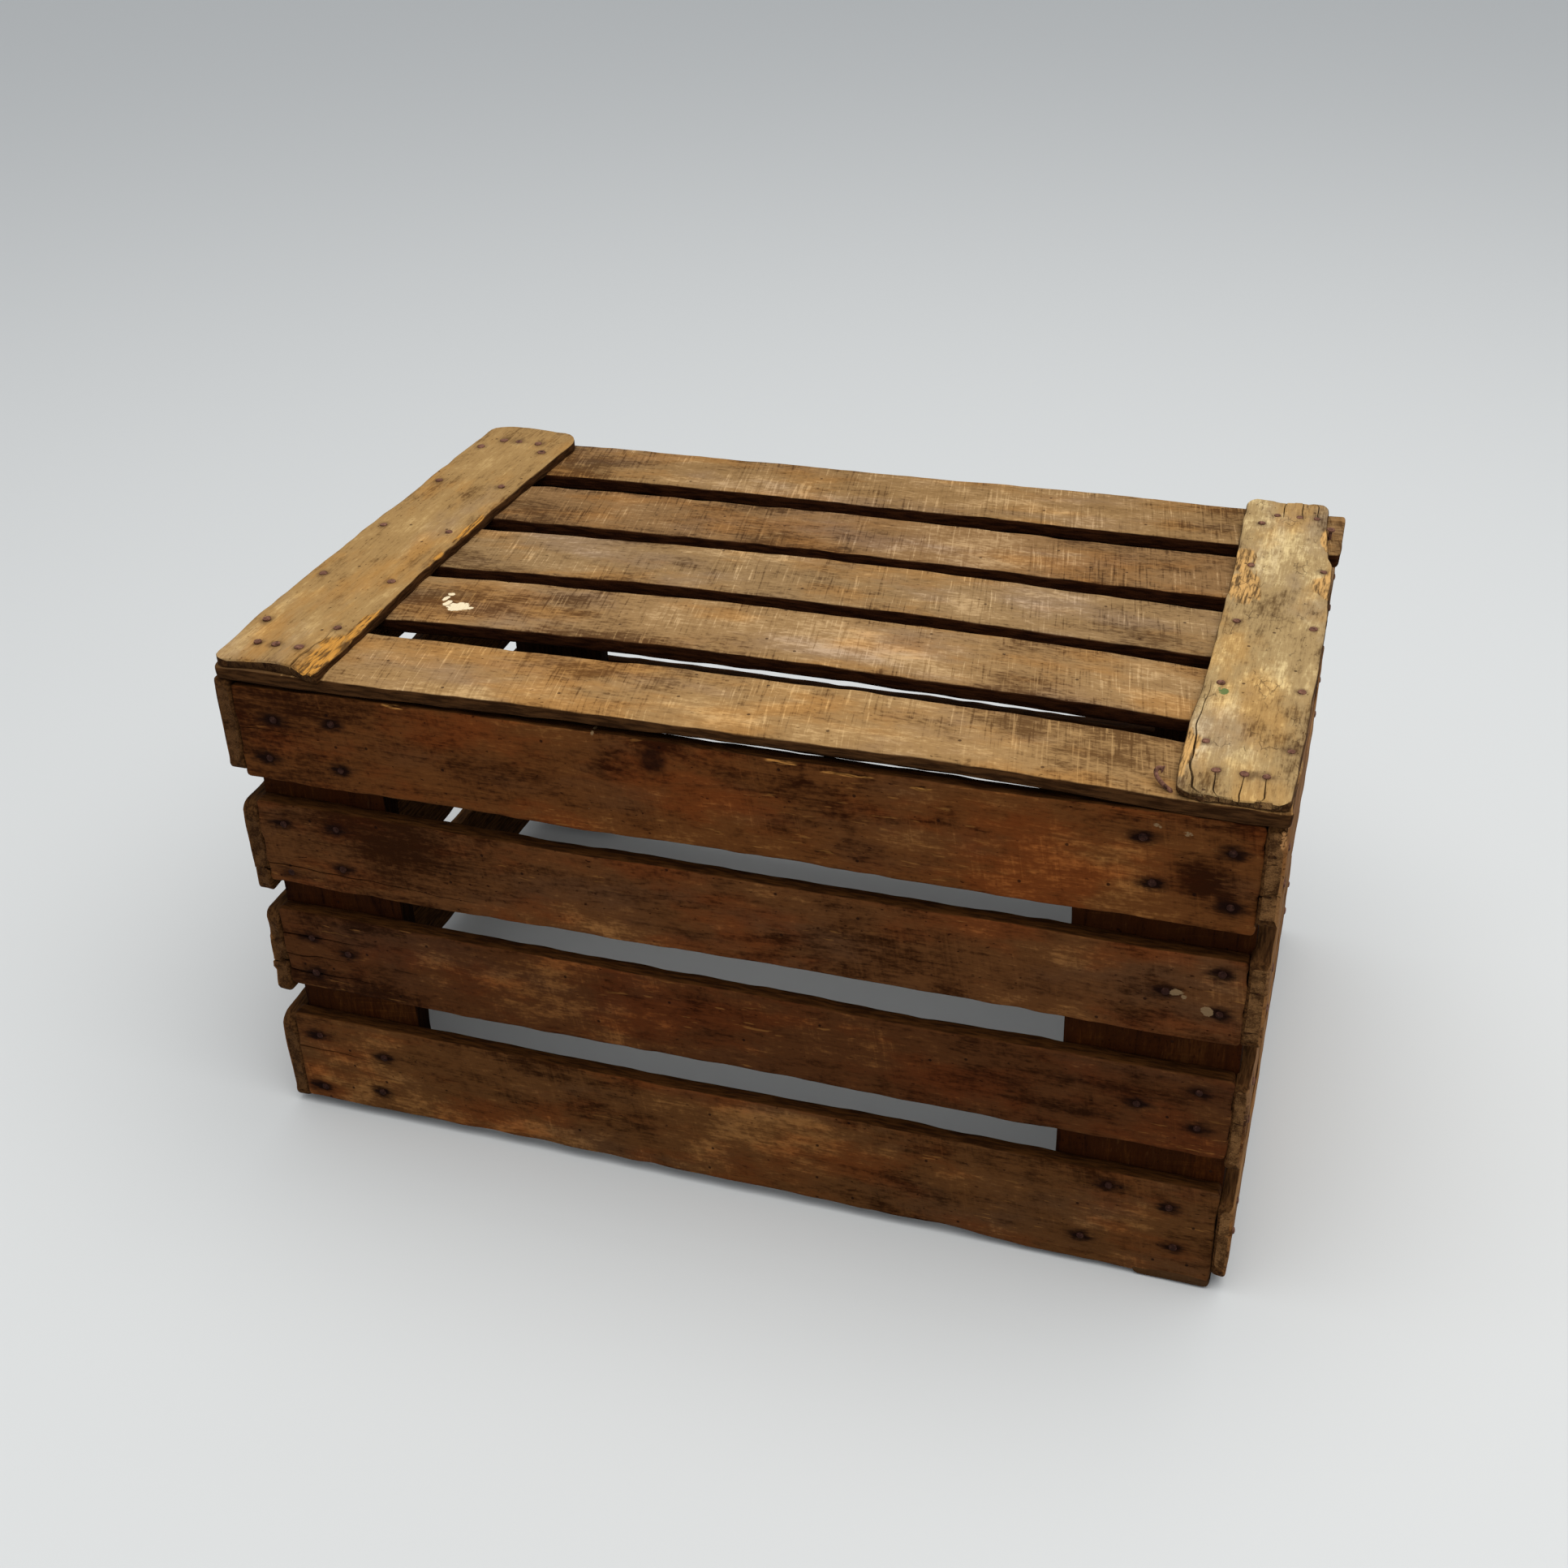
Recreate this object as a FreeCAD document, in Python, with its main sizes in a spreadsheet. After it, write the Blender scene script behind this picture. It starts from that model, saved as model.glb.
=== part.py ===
"""A slatted wooden fruit crate, standing upside down on its mouth.

Four walls of nailed slats hang on a flat board in each corner. The slatted floor is uppermost, with a batten
across each end. Millimetres, +Z up, +X along the crate; the origin is on the ground under the middle.
"""

import FreeCAD
import Part
import Sketcher
import math
import os
import re
from collections import namedtuple

V = FreeCAD.Vector
UP = V(0, 0, 1)
ALONG = V(1, 0, 0)

SIZES = {
    # The whole crate
    "crate_length": 640.0,
    "crate_width": 398.4,
    "side_height": 327.3,
    "ground_gap": 9.0,
    # Long walls, with their gaps from the floor side down to the mouth
    "side_slat_thickness": 11.0,
    "front_gap_1": 19.2,
    "front_gap_2": 24.5,
    "front_gap_3": 26.0,
    "back_gap_1": 15.4,
    "back_gap_2": 10.7,
    "back_gap_3": 9.3,
    # End walls; the right one ends a little above the others
    "end_slat_thickness": 11.5,
    "left_end_gap_1": 24.2,
    "left_end_gap_2": 20.1,
    "left_end_gap_3": 22.8,
    "right_end_gap_1": 22.5,
    "right_end_gap_2": 26.5,
    "right_end_gap_3": 33.0,
    "right_end_gap_4": 2.9,
    # Corner boards, with the block under the front right one; the back left one is short
    "board_thickness": 16.0,
    "left_board_width": 82.5,
    "back_left_board_width": 72.5,
    "back_left_board_lift": 18.0,
    "right_board_width": 99.0,
    "foot_width": 47.5,
    "foot_edge_radius": 4.0,
    # Slatted floor, from the back to the front, each slat bowed up by its crown
    "floor_slat_thickness": 9.6,
    "floor_gap_1": 21.8,
    "floor_gap_2": 20.9,
    "floor_gap_3": 14.5,
    "floor_gap_4": 23.0,
    "floor_slat_1_crown": 1.5,
    "floor_slat_2_crown": 2.2,
    "floor_slat_3_crown": 6.0,
    "floor_slat_4_crown": 6.0,
    "floor_slat_5_crown": 3.0,
    # Battens
    "batten_thickness": 7.0,
    "left_batten_width": 70.0,
    "right_batten_width": 64.0,
    "batten_back_radius": 14.0,
    "batten_front_radius": 4.0,
    # Worn arrises of every wall slat and corner board
    "arris_radius": 1.2,
    # Nails, with lengths under the head
    "nail_head_diameter": 5.6,
    "nail_head_thickness": 1.2,
    "nail_shank_diameter": 2.4,
    "nail_point_length": 4.0,
    "short_nail_length": 14.5,
    "long_nail_length": 30.0,
    "foot_nail_sink": 0.6,
    "batten_nail_sink": 1.3,
    "nail_hole_clearance": 0.1,
    "nail_tip_clearance": 0.5,
    # The half-driven nail that was bent over on the front floor slat
    "bent_nail_inset": 67.5,
    "bent_nail_bend_radius": 4.6,
    "bent_nail_depth": 22.0,
}

# Widths of the slats, as shares of what the gaps of their wall or floor leave
front_slat_shares = (0.2682, 0.2255, 0.2329, 0.2734)
back_slat_shares = (0.2419, 0.2504, 0.2131, 0.2946)
left_end_slat_shares = (0.2502, 0.2444, 0.2494, 0.2560)
right_end_slat_shares = (0.2625, 0.2500, 0.2458, 0.2417)
floor_slat_shares = (0.1926, 0.1999, 0.2008, 0.2099, 0.1968)

# Side nails, slat by slat: share of the board's width in from the slat's end, and of the slat's width up
side_start_nail_shares = (
    ((0.27, 0.65), (0.76, 0.69), (0.18, 0.24), (0.78, 0.22)),
    ((0.19, 0.78), (0.65, 0.82), (0.18, 0.15), (0.65, 0.30)),
    ((0.25, 0.70), (0.56, 0.56), (0.23, 0.22)),
    ((0.15, 0.78), (0.73, 0.65), (0.11, 0.13), (0.66, 0.21)),
)
side_finish_nail_shares = (
    ((0.64, 0.75), (0.16, 0.72), (0.57, 0.34), (0.14, 0.22)),
    ((0.14, 0.82), (0.44, 0.52), (0.13, 0.35)),
    ((0.19, 0.78), (0.54, 0.51), (0.18, 0.34)),
    ((0.66, 0.85), (0.29, 0.73), (0.81, 0.21), (0.24, 0.29)),
)
# End nails, slat by slat, as shares of the slat's width up
end_nail_shares = ((0.25, 0.62), (0.24, 0.70), (0.30, 0.78), (0.34, 0.76))
# Batten nails: share of the batten's width in from its end, and of each floor slat's width from the front
batten_inner_share = 0.80
batten_slat_shares = (0.38, 0.60, 0.60, 0.55, 0.83)
batten_row_shares = (0.25, 0.43, 0.66)
foot_nail_shares = (0.28, 0.72)
# Nails that go along a corner board stand this share of its thickness in, past the points of the side nails
board_nail_share = 0.70
# Sweep of the bent nail's hook, in degrees
bent_nail_sweep = 140.0

doc = FreeCAD.newDocument("crate")
sheet = doc.addObject("Spreadsheet::Sheet", "sizes")
for row, (alias, size) in enumerate(SIZES.items(), 1):
    sheet.set(f"A{row}", alias)
    sheet.set(f"B{row}", str(size))
    sheet.setAlias(f"B{row}", alias)
doc.recompute()


def bound(text):
    """The expression, with every size's name read from the sheet."""
    return re.sub(r"[a-z]\w*", lambda word: f"sizes.{word[0]}" if word[0] in SIZES else word[0], text)


def amount(text):
    """The value of an expression, for what is placed here and not by the sheet itself."""
    return float(sheet.evalExpression(bound(text)))


def sketch_on(body, name, role):
    """A new sketch on one of the body's own origin planes."""
    sketch = body.newObject("Sketcher::SketchObject", name)
    plane = next(feature for feature in body.Origin.OriginFeatures if feature.Role == role)
    sketch.AttachmentSupport = [(plane, "")]
    sketch.MapMode = "FlatFace"
    return sketch


def bind(sketch, constraint, alias, text):
    """Adds a named constraint that follows the sheet."""
    index = sketch.addConstraint(constraint)
    sketch.renameConstraint(index, alias)
    sketch.setExpression(f"Constraints.{alias}", bound(text))


def pad(body, sketch, text):
    feature = body.newObject("PartDesign::Pad", f"{body.Name}_pad")
    feature.Profile = sketch
    feature.setExpression("Length", bound(text))
    doc.recompute()
    return feature


def block(body, name, length, width, thickness):
    """Pads a rectangle: length along the body's X, width along its Y, thickness along its Z."""
    sketch = sketch_on(body, name, "XY_Plane")
    a, b = amount(length), amount(width)
    corners = [V(0, 0, 0), V(a, 0, 0), V(a, b, 0), V(0, b, 0)]
    for index, kind in enumerate(("Horizontal", "Vertical", "Horizontal", "Vertical")):
        sketch.addGeometry(Part.LineSegment(corners[index], corners[(index + 1) % 4]), False)
        sketch.addConstraint(Sketcher.Constraint(kind, index))
    for index in range(4):
        sketch.addConstraint(Sketcher.Constraint("Coincident", index, 2, (index + 1) % 4, 1))
    sketch.addConstraint(Sketcher.Constraint("Coincident", 0, 1, -1, 1))
    bind(sketch, Sketcher.Constraint("DistanceX", 0, 1, 0, 2, a), "length", length)
    bind(sketch, Sketcher.Constraint("DistanceY", 1, 1, 1, 2, b), "width", width)
    return pad(body, sketch, thickness)


def runs_along(edge, axis):
    straight = edge.Curve.TypeId == "Part::GeomLine"
    return straight and abs(edge.tangentAt(edge.FirstParameter).dot(axis)) > 0.99


def round_edges(body, feature, chosen, text):
    """Fillets the edges that the rule picks out of the feature's shape."""
    names = [f"Edge{n}" for n, edge in enumerate(feature.Shape.Edges, 1) if chosen(edge)]
    fillet = body.newObject("PartDesign::Fillet", f"{body.Name}_fillet")
    fillet.Base = (feature, names)
    fillet.setExpression("Radius", bound(text))
    doc.recompute()
    return fillet


def place(thing, turn, x, y, z):
    """Turns the piece and lets its base point follow the sheet."""
    thing.Placement = FreeCAD.Placement(V(0, 0, 0), turn)
    for axis, text in zip("xyz", (x, y, z)):
        thing.setExpression(f".Placement.Base.{axis}", bound(text))


def board(name, length, width, thickness):
    """A sawn board with worn arrises."""
    body = doc.addObject("PartDesign::Body", f"{name}_blank")
    blank = block(body, f"{name}_face", length, width, thickness)
    round_edges(body, blank, lambda edge: runs_along(edge, ALONG), "arris_radius")
    return body


def drilled(label, blank, *drills):
    """The finished piece: the blank with the holes of the nails that go through it."""
    piece = blank
    for drill in drills:
        cut = doc.addObject("Part::Cut", f"{label}_cut")
        cut.Base = piece
        cut.Tool = drill
        piece = cut
    piece.Label = label
    return piece


def nail(name, length):
    """A flat-headed wire nail, pointing down, with the underside of its head at its origin."""
    body = doc.addObject("PartDesign::Body", name)
    sketch = sketch_on(body, f"{name}_profile", "XZ_Plane")
    head, shank = amount("nail_head_diameter / 2"), amount("nail_shank_diameter / 2")
    thick, reach, tip = amount("nail_head_thickness"), amount(length), amount("nail_point_length")
    point, shoulder, neck = V(0, -reach, 0), V(shank, tip - reach, 0), V(shank, 0, 0)
    profile = [point, shoulder, neck, V(head, 0, 0), V(head, thick, 0), V(0, thick, 0)]
    for index, start in enumerate(profile):
        sketch.addGeometry(Part.LineSegment(start, profile[(index + 1) % len(profile)]), False)
    for index in range(len(profile)):
        sketch.addConstraint(Sketcher.Constraint("Coincident", index, 2, (index + 1) % len(profile), 1))
    for index, kind in enumerate(("Vertical", "Horizontal", "Vertical", "Horizontal", "Vertical"), 1):
        sketch.addConstraint(Sketcher.Constraint(kind, index))
    sketch.addConstraint(Sketcher.Constraint("PointOnObject", 0, 1, -2))
    sketch.addConstraint(Sketcher.Constraint("PointOnObject", 2, 1, -1))
    bind(sketch, Sketcher.Constraint("DistanceY", 5, 2, 2, 1, reach), "reach", length)
    bind(sketch, Sketcher.Constraint("DistanceY", 0, 1, 0, 2, tip), "tip", "nail_point_length")
    bind(sketch, Sketcher.Constraint("DistanceX", 5, 2, 0, 2, shank), "shank", "nail_shank_diameter / 2")
    bind(sketch, Sketcher.Constraint("DistanceX", 5, 2, 3, 1, head), "head", "nail_head_diameter / 2")
    bind(sketch, Sketcher.Constraint("DistanceY", 3, 1, 3, 2, thick), "thickness", "nail_head_thickness")
    turned = body.newObject("PartDesign::Revolution", f"{name}_turned")
    turned.Profile = sketch
    turned.ReferenceAxis = (sketch, ["V_Axis"])
    turned.Angle = 360.0
    doc.recompute()
    return body


def nail_group(label, sets, sink="0"):
    """Nails as one group of solids, and the drill that makes their holes.

    Each set is a nail, its length and its places: the point under the head and the way the nail points.
    """
    radius = amount("nail_shank_diameter / 2 + nail_hole_clearance")
    head_radius = amount("nail_head_diameter / 2 + nail_hole_clearance")
    head, sunk = amount("nail_head_thickness"), amount(sink)
    nails, holes = [], []
    for kind, length, places in sets:
        depth = amount(f"{length} + nail_tip_clearance")
        for point, way in places:
            seat = point + way * sunk
            nails.append(kind.Shape.copy())
            nails[-1].Placement = FreeCAD.Placement(seat, FreeCAD.Rotation(-UP, way))
            holes.append(Part.makeCylinder(radius, depth, seat, way))
            if sunk:
                holes.append(Part.makeCylinder(head_radius, head + sunk, seat - way * (head + sunk), way))
    group = doc.addObject("Part::Feature", label)
    group.Shape = Part.makeCompound(nails)
    drill = doc.addObject("Part::Feature", f"{label}_drill")
    drill.Shape = Part.makeCompound(holes)
    return group, drill


# Slats side by side over a wall's height or the floor's width, each followed by a gap
Row = namedtuple("Row", "span gaps shares")


def row_of(name, span, gap_count, shares):
    return Row(span, [f"{name}_gap_{n}" for n in range(1, gap_count + 1)], shares)


def slat_width(row, number):
    return f"{row.shares[number - 1]} * ({row.span} - {' - '.join(row.gaps)})"


def slat_reach(row, number):
    """From the row's start to the far edge of a slat."""
    widths = [slat_width(row, n) for n in range(1, number + 1)]
    return " + ".join(widths + row.gaps[: number - 1])


# Wall layout. Each wall is drawn as the front wall, with its slats along X, and turned about Z to its side.
Wall = namedtuple("Wall", "turn length thickness x y row")
inner_length = "(crate_length - 2 * end_slat_thickness)"
half_inside = f"{inner_length} / 2"
front_inside = "side_slat_thickness - crate_width / 2"
back_inside = "crate_width / 2 - side_slat_thickness"
half_length = "crate_length / 2"
half_width = "crate_width / 2"
side, end = "side_slat_thickness", "end_slat_thickness"
front_row = row_of("front", "side_height", 3, front_slat_shares)
back_row = row_of("back", "side_height", 3, back_slat_shares)
left_row = row_of("left_end", "side_height", 3, left_end_slat_shares)
right_row = row_of("right_end", "side_height", 4, right_end_slat_shares)
walls = {
    "front": Wall(0, inner_length, side, f"-{half_inside}", front_inside, front_row),
    "back": Wall(180, inner_length, side, half_inside, back_inside, back_row),
    "left_end": Wall(-90, "crate_width", end, f"{end} - {half_length}", half_width, left_row),
    "right_end": Wall(90, "crate_width", end, f"{half_length} - {end}", f"-{half_width}", right_row),
}
WALL_SLATS = range(1, 5)
upright = FreeCAD.Rotation(ALONG, 90)


def slat_base(row, number):
    """Height of a wall slat's lower edge."""
    return f"ground_gap + side_height - ({slat_reach(row, number)})"


def wall_point(name, number, along, up_share):
    """The point on a slat's outer face at a distance along it, and the way into the wood."""
    wall = walls[name]
    turn = FreeCAD.Rotation(UP, wall.turn)
    out = turn.multVec(V(0, -1, 0))
    height = amount(f"{slat_base(wall.row, number)} + {up_share} * {slat_width(wall.row, number)}")
    base = V(amount(wall.x), amount(wall.y), height)
    return base + turn.multVec(V(along, 0, 0)) + out * amount(wall.thickness), -out


short_nail = nail("short_nail", "short_nail_length")
long_nail = nail("long_nail", "long_nail_length")

# Nails of the two long walls: each slat end is nailed to the corner board behind it
groups = {}
board_widths = {
    "front": ("left_board_width", "right_board_width"),
    "back": ("right_board_width", "back_left_board_width"),
}
for name, (start_width, finish_width) in board_widths.items():
    places = []
    for number in WALL_SLATS:
        for across, up in side_start_nail_shares[number - 1]:
            places.append(wall_point(name, number, amount(f"{across} * {start_width}"), up))
        for across, up in side_finish_nail_shares[number - 1]:
            along = amount(f"{inner_length} - {across} * {finish_width}")
            places.append(wall_point(name, number, along, up))
    groups[name] = nail_group(f"{name}_nails", [(short_nail, "short_nail_length", places)])

# Nails of the end walls: they go into the edges of the corner boards
board_line = f"(side_slat_thickness + {board_nail_share} * board_thickness)"
for name in ("left_end", "right_end"):
    places = []
    for number in WALL_SLATS:
        for along in (board_line, f"crate_width - {board_line}"):
            for up in end_nail_shares[number - 1]:
                places.append(wall_point(name, number, amount(along), up))
    groups[name] = nail_group(f"{name}_nails", [(long_nail, "long_nail_length", places)])

# Floor layout, from the back to the front
floor_base = "(ground_gap + side_height)"
FLOOR_SLATS = range(1, 6)
floor_row = row_of("floor", "crate_width", 4, floor_slat_shares)


def floor_front(number):
    """The y of a floor slat's front edge."""
    return f"crate_width / 2 - ({slat_reach(floor_row, number)})"


# Nails of the battens, driven just under: a column into the end wall, a short one into the floor slats and a
# row into each board
batten_top = amount(f"{floor_base} + floor_slat_thickness + batten_thickness")
for name, sign in (("left", -1), ("right", 1)):
    outer = sign * amount(half_length)
    into_wall, into_slat = [], []
    for number, share in zip(FLOOR_SLATS, batten_slat_shares):
        y = amount(f"{floor_front(number)} + {share} * {slat_width(floor_row, number)}")
        wall_in = amount("end_slat_thickness / 2")
        slat_in = amount(f"{batten_inner_share} * {name}_batten_width")
        into_wall.append((V(outer - sign * wall_in, y, batten_top), -UP))
        into_slat.append((V(outer - sign * slat_in, y, batten_top), -UP))
    for y in (amount(f"{board_line} - crate_width / 2"), amount(f"crate_width / 2 - {board_line}")):
        for share in batten_row_shares:
            board_in = amount(f"{share} * {name}_batten_width")
            into_wall.append((V(outer - sign * board_in, y, batten_top), -UP))
    sets = [(long_nail, "long_nail_length", into_wall), (short_nail, "short_nail_length", into_slat)]
    groups[f"{name}_batten"] = nail_group(f"{name}_batten_nails", sets, sink="batten_nail_sink")

# Foot nails, driven up from the underside with their heads sunk clear of the ground
foot_left = f"({half_inside} - foot_width)"
places = []
for share in foot_nail_shares:
    x, y = amount(f"{foot_left} + {share} * foot_width"), amount(f"{board_line} - crate_width / 2")
    places.append((V(x, y, amount("nail_head_thickness")), UP))
groups["foot"] = nail_group("foot_nails", [(short_nail, "short_nail_length", places)], sink="foot_nail_sink")

# Bent nail: driven through the front floor slat into the front wall's top edge, its upper part hooked over
bent_x = "(crate_length / 2 - bent_nail_inset)"
bent_y = "(side_slat_thickness / 2 - crate_width / 2)"
bent_z = f"({floor_base} + floor_slat_thickness)"
shank = doc.addObject("Part::Cylinder", "bent_nail_shank")
shank.setExpression("Radius", bound("nail_shank_diameter / 2"))
shank.setExpression("Height", bound("bent_nail_depth"))
place(shank, FreeCAD.Rotation(), bent_x, bent_y, f"{bent_z} - bent_nail_depth")
hook = doc.addObject("Part::Torus", "bent_nail_hook")
hook.setExpression("Radius1", bound("bent_nail_bend_radius"))
hook.setExpression("Radius2", bound("nail_shank_diameter / 2"))
hook.Angle3 = bent_nail_sweep
place(hook, upright, f"{bent_x} - bent_nail_bend_radius", bent_y, bent_z)
bent_nail = doc.addObject("Part::Fuse", "bent_nail_whole")
bent_nail.Base = shank
bent_nail.Tool = hook
bent_nail.Label = "bent_nail"
bent_drill = doc.addObject("Part::Cylinder", "bent_nail_drill")
bent_drill.setExpression("Radius", bound("nail_shank_diameter / 2 + nail_hole_clearance"))
bent_drill.setExpression("Height", bound("bent_nail_depth + 2 * nail_tip_clearance"))
place(bent_drill, FreeCAD.Rotation(), bent_x, bent_y, f"{bent_z} - bent_nail_depth - nail_tip_clearance")

# Wall slats
finished = []
for name, wall in walls.items():
    for number in WALL_SLATS:
        label = f"{name}_slat_{number}"
        blank = board(label, wall.length, slat_width(wall.row, number), wall.thickness)
        turn = FreeCAD.Rotation(UP, wall.turn) * upright
        place(blank, turn, wall.x, wall.y, slat_base(wall.row, number))
        drills = [groups[name][1]]
        if label == "front_slat_1":
            drills.append(bent_drill)
        if label in ("left_end_slat_1", "right_end_slat_1"):
            drills.append(groups[name.replace("end", "batten")][1])
        finished.append(drilled(label, blank, *drills))

# Corner boards: flat against the long walls, two of them down to the ground, one on its block and one short
Corner = namedtuple("Corner", "turn x y z width")
standing = FreeCAD.Rotation(UP, ALONG, V(0, 1, 0))
left_width, right_width = "left_board_width", "right_board_width"
short_width, short_lift = "back_left_board_width", "back_left_board_lift"
corners = {
    "front_left": Corner(0, f"-{half_inside}", front_inside, "0", left_width),
    "front_right": Corner(0, f"{half_inside} - {right_width}", front_inside, "ground_gap", right_width),
    "back_right": Corner(180, half_inside, back_inside, "0", right_width),
    "back_left": Corner(180, f"{short_width} - {half_inside}", back_inside, short_lift, short_width),
}
for name, corner in corners.items():
    wall_name, hand = name.split("_")
    label = f"{name}_corner_board"
    blank = board(label, f"{floor_base} - {corner.z}", corner.width, "board_thickness")
    place(blank, FreeCAD.Rotation(UP, corner.turn) * standing, corner.x, corner.y, corner.z)
    drills = [groups[group][1] for group in (wall_name, f"{hand}_end", f"{hand}_batten")]
    if name == "front_right":
        drills.append(groups["foot"][1])
    finished.append(drilled(label, blank, *drills))

# Block under the front right corner board, flush with the front wall, its lower edges worn round
foot = doc.addObject("PartDesign::Body", "foot_blank")
blank = block(foot, "foot_plan", "foot_width", "side_slat_thickness + board_thickness", "ground_gap")


def low_side(edge):
    return runs_along(edge, V(0, 1, 0)) and edge.CenterOfMass.z < amount("ground_gap / 2")


round_edges(foot, blank, low_side, "foot_edge_radius")
place(foot, FreeCAD.Rotation(), foot_left, f"-{half_width}", "0")
finished.append(drilled("front_right_foot", foot, groups["foot"][1]))


def floor_slat(label, width):
    """A floor slat: flat under the battens, bowed up between them, and padded from its side view."""
    body = doc.addObject("PartDesign::Body", f"{label}_blank")
    sketch = sketch_on(body, f"{label}_side", "XZ_Plane")
    length, thick, crown = amount("crate_length"), amount("floor_slat_thickness"), amount(f"{label}_crown")
    left, right = amount("left_batten_width"), amount("crate_length - right_batten_width")
    half = (right - left) / 2
    radius = (half**2 + crown**2) / (2 * crown)
    swing = math.asin(half / radius)
    quarter = math.pi / 2
    points = [V(x, 0, 0) for x in (0, left, right, length)]
    points += [V(x, thick, 0) for x in (length, right, left, 0)]
    bows = (1, 5)
    for index, start in enumerate(points):
        if index in bows:
            middle = V((left + right) / 2, start.y + crown - radius, 0)
            circle = Part.Circle(middle, UP, radius)
            sketch.addGeometry(Part.ArcOfCircle(circle, quarter - swing, quarter + swing), False)
            continue
        following = points[(index + 1) % len(points)]
        sketch.addGeometry(Part.LineSegment(start, following), False)
        kind = "Horizontal" if start.y == following.y else "Vertical"
        sketch.addConstraint(Sketcher.Constraint(kind, index))
    # The lower bow is drawn from right to left, against the outline's way round
    for index in range(len(points)):
        following = (index + 1) % len(points)
        leaves, enters = 1 if index == bows[0] else 2, 2 if following == bows[0] else 1
        sketch.addConstraint(Sketcher.Constraint("Coincident", index, leaves, following, enters))
    sketch.addConstraint(Sketcher.Constraint("Coincident", 0, 1, -1, 1))
    sketch.addConstraint(Sketcher.Constraint("Equal", *bows))
    sketch.addConstraint(Sketcher.Constraint("Vertical", 0, 2, 6, 1))
    sketch.addConstraint(Sketcher.Constraint("Vertical", 2, 1, 4, 2))
    sketch.addConstraint(Sketcher.Constraint("Horizontal", 0, 2, 2, 1))
    bind(sketch, Sketcher.Constraint("DistanceX", 0, 1, 0, 2, left), "left_flat", "left_batten_width")
    right_flat = Sketcher.Constraint("DistanceX", 2, 1, 2, 2, length - right)
    bind(sketch, right_flat, "right_flat", "right_batten_width")
    bind(sketch, Sketcher.Constraint("DistanceX", 0, 1, 2, 2, length), "length", "crate_length")
    bind(sketch, Sketcher.Constraint("DistanceY", 3, 1, 3, 2, thick), "thickness", "floor_slat_thickness")
    span, rise = "(crate_length - left_batten_width - right_batten_width)", f"{label}_crown"
    bow_radius = f"({span} ^ 2 / 4 + {rise} ^ 2) / (2 * {rise})"
    bind(sketch, Sketcher.Constraint("Radius", bows[0], radius), "bow_radius", bow_radius)
    pad(body, sketch, width).Reversed = True
    return body


for number in FLOOR_SLATS:
    label = f"floor_slat_{number}"
    blank = floor_slat(label, slat_width(floor_row, number))
    place(blank, FreeCAD.Rotation(), f"-{half_length}", floor_front(number), floor_base)
    drills = [groups["left_batten"][1], groups["right_batten"][1]]
    if number == FLOOR_SLATS[-1]:
        drills.append(bent_drill)
    finished.append(drilled(label, blank, *drills))


# Battens: flat boards across the ends of the floor, their corners worn round, most of all at the back
def front_corner(edge):
    return runs_along(edge, UP) and edge.CenterOfMass.y < amount(half_width)


def back_corner(edge):
    return runs_along(edge, UP) and edge.CenterOfMass.y > amount(half_width)


for name, x in (("left", f"-{half_length}"), ("right", f"{half_length} - right_batten_width")):
    label = f"{name}_batten"
    body = doc.addObject("PartDesign::Body", f"{label}_blank")
    blank = block(body, f"{label}_plan", f"{label}_width", "crate_width", "batten_thickness")
    worn = round_edges(body, blank, front_corner, "batten_front_radius")
    round_edges(body, worn, back_corner, "batten_back_radius")
    place(body, FreeCAD.Rotation(), x, f"-{half_width}", f"{floor_base} + floor_slat_thickness")
    finished.append(drilled(label, body, groups[label][1]))

finished += [group for group, _ in groups.values()] + [bent_nail]
doc.recompute()

# Nothing is written unless every object is sound
for thing in doc.Objects:
    if "Invalid" in thing.State or "Error" in thing.State:
        raise RuntimeError(f"{thing.Label} failed: {thing.State}")
for piece in finished:
    if piece.Shape.isNull() or not piece.Shape.isValid() or not piece.Shape.Solids:
        raise RuntimeError(f"{piece.Label} has no sound solid")

os.makedirs("parts", exist_ok=True)
for piece in finished:
    piece.Shape.exportStep(f"parts/{piece.Label}.step")
print(f"{len(finished)} pieces written")
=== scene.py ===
"""Looks of a slatted wooden fruit crate that stands upside down on its mouth. Sizes are in millimetres."""

import math
import bpy
import numpy as np
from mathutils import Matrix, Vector


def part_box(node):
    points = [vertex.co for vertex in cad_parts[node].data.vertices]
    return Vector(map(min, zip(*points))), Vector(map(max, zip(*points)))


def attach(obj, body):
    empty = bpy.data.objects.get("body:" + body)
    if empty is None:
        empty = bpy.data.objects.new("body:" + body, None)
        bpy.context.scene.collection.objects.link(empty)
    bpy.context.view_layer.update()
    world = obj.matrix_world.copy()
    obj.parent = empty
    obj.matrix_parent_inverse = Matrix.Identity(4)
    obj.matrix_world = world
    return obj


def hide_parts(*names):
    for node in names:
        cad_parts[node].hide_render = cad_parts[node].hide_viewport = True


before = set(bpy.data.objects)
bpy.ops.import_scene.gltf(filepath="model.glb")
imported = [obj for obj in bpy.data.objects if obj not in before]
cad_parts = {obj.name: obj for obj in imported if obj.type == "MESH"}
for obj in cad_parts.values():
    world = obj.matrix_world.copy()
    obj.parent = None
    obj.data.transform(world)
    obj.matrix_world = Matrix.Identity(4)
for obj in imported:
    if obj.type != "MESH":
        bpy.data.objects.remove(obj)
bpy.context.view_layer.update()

# Corner boards
# Four flat boards of reddish softwood stand in the corners, sawn rough and never planed. The walls are nailed
# to them, so they show only as bands behind the gaps, painted almost black as painted shade for the inside of
# the crate.
MM = 0.001
X, Y, Z = Vector((1, 0, 0)), Vector((0, 1, 0)), Vector((0, 0, 1))


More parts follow.
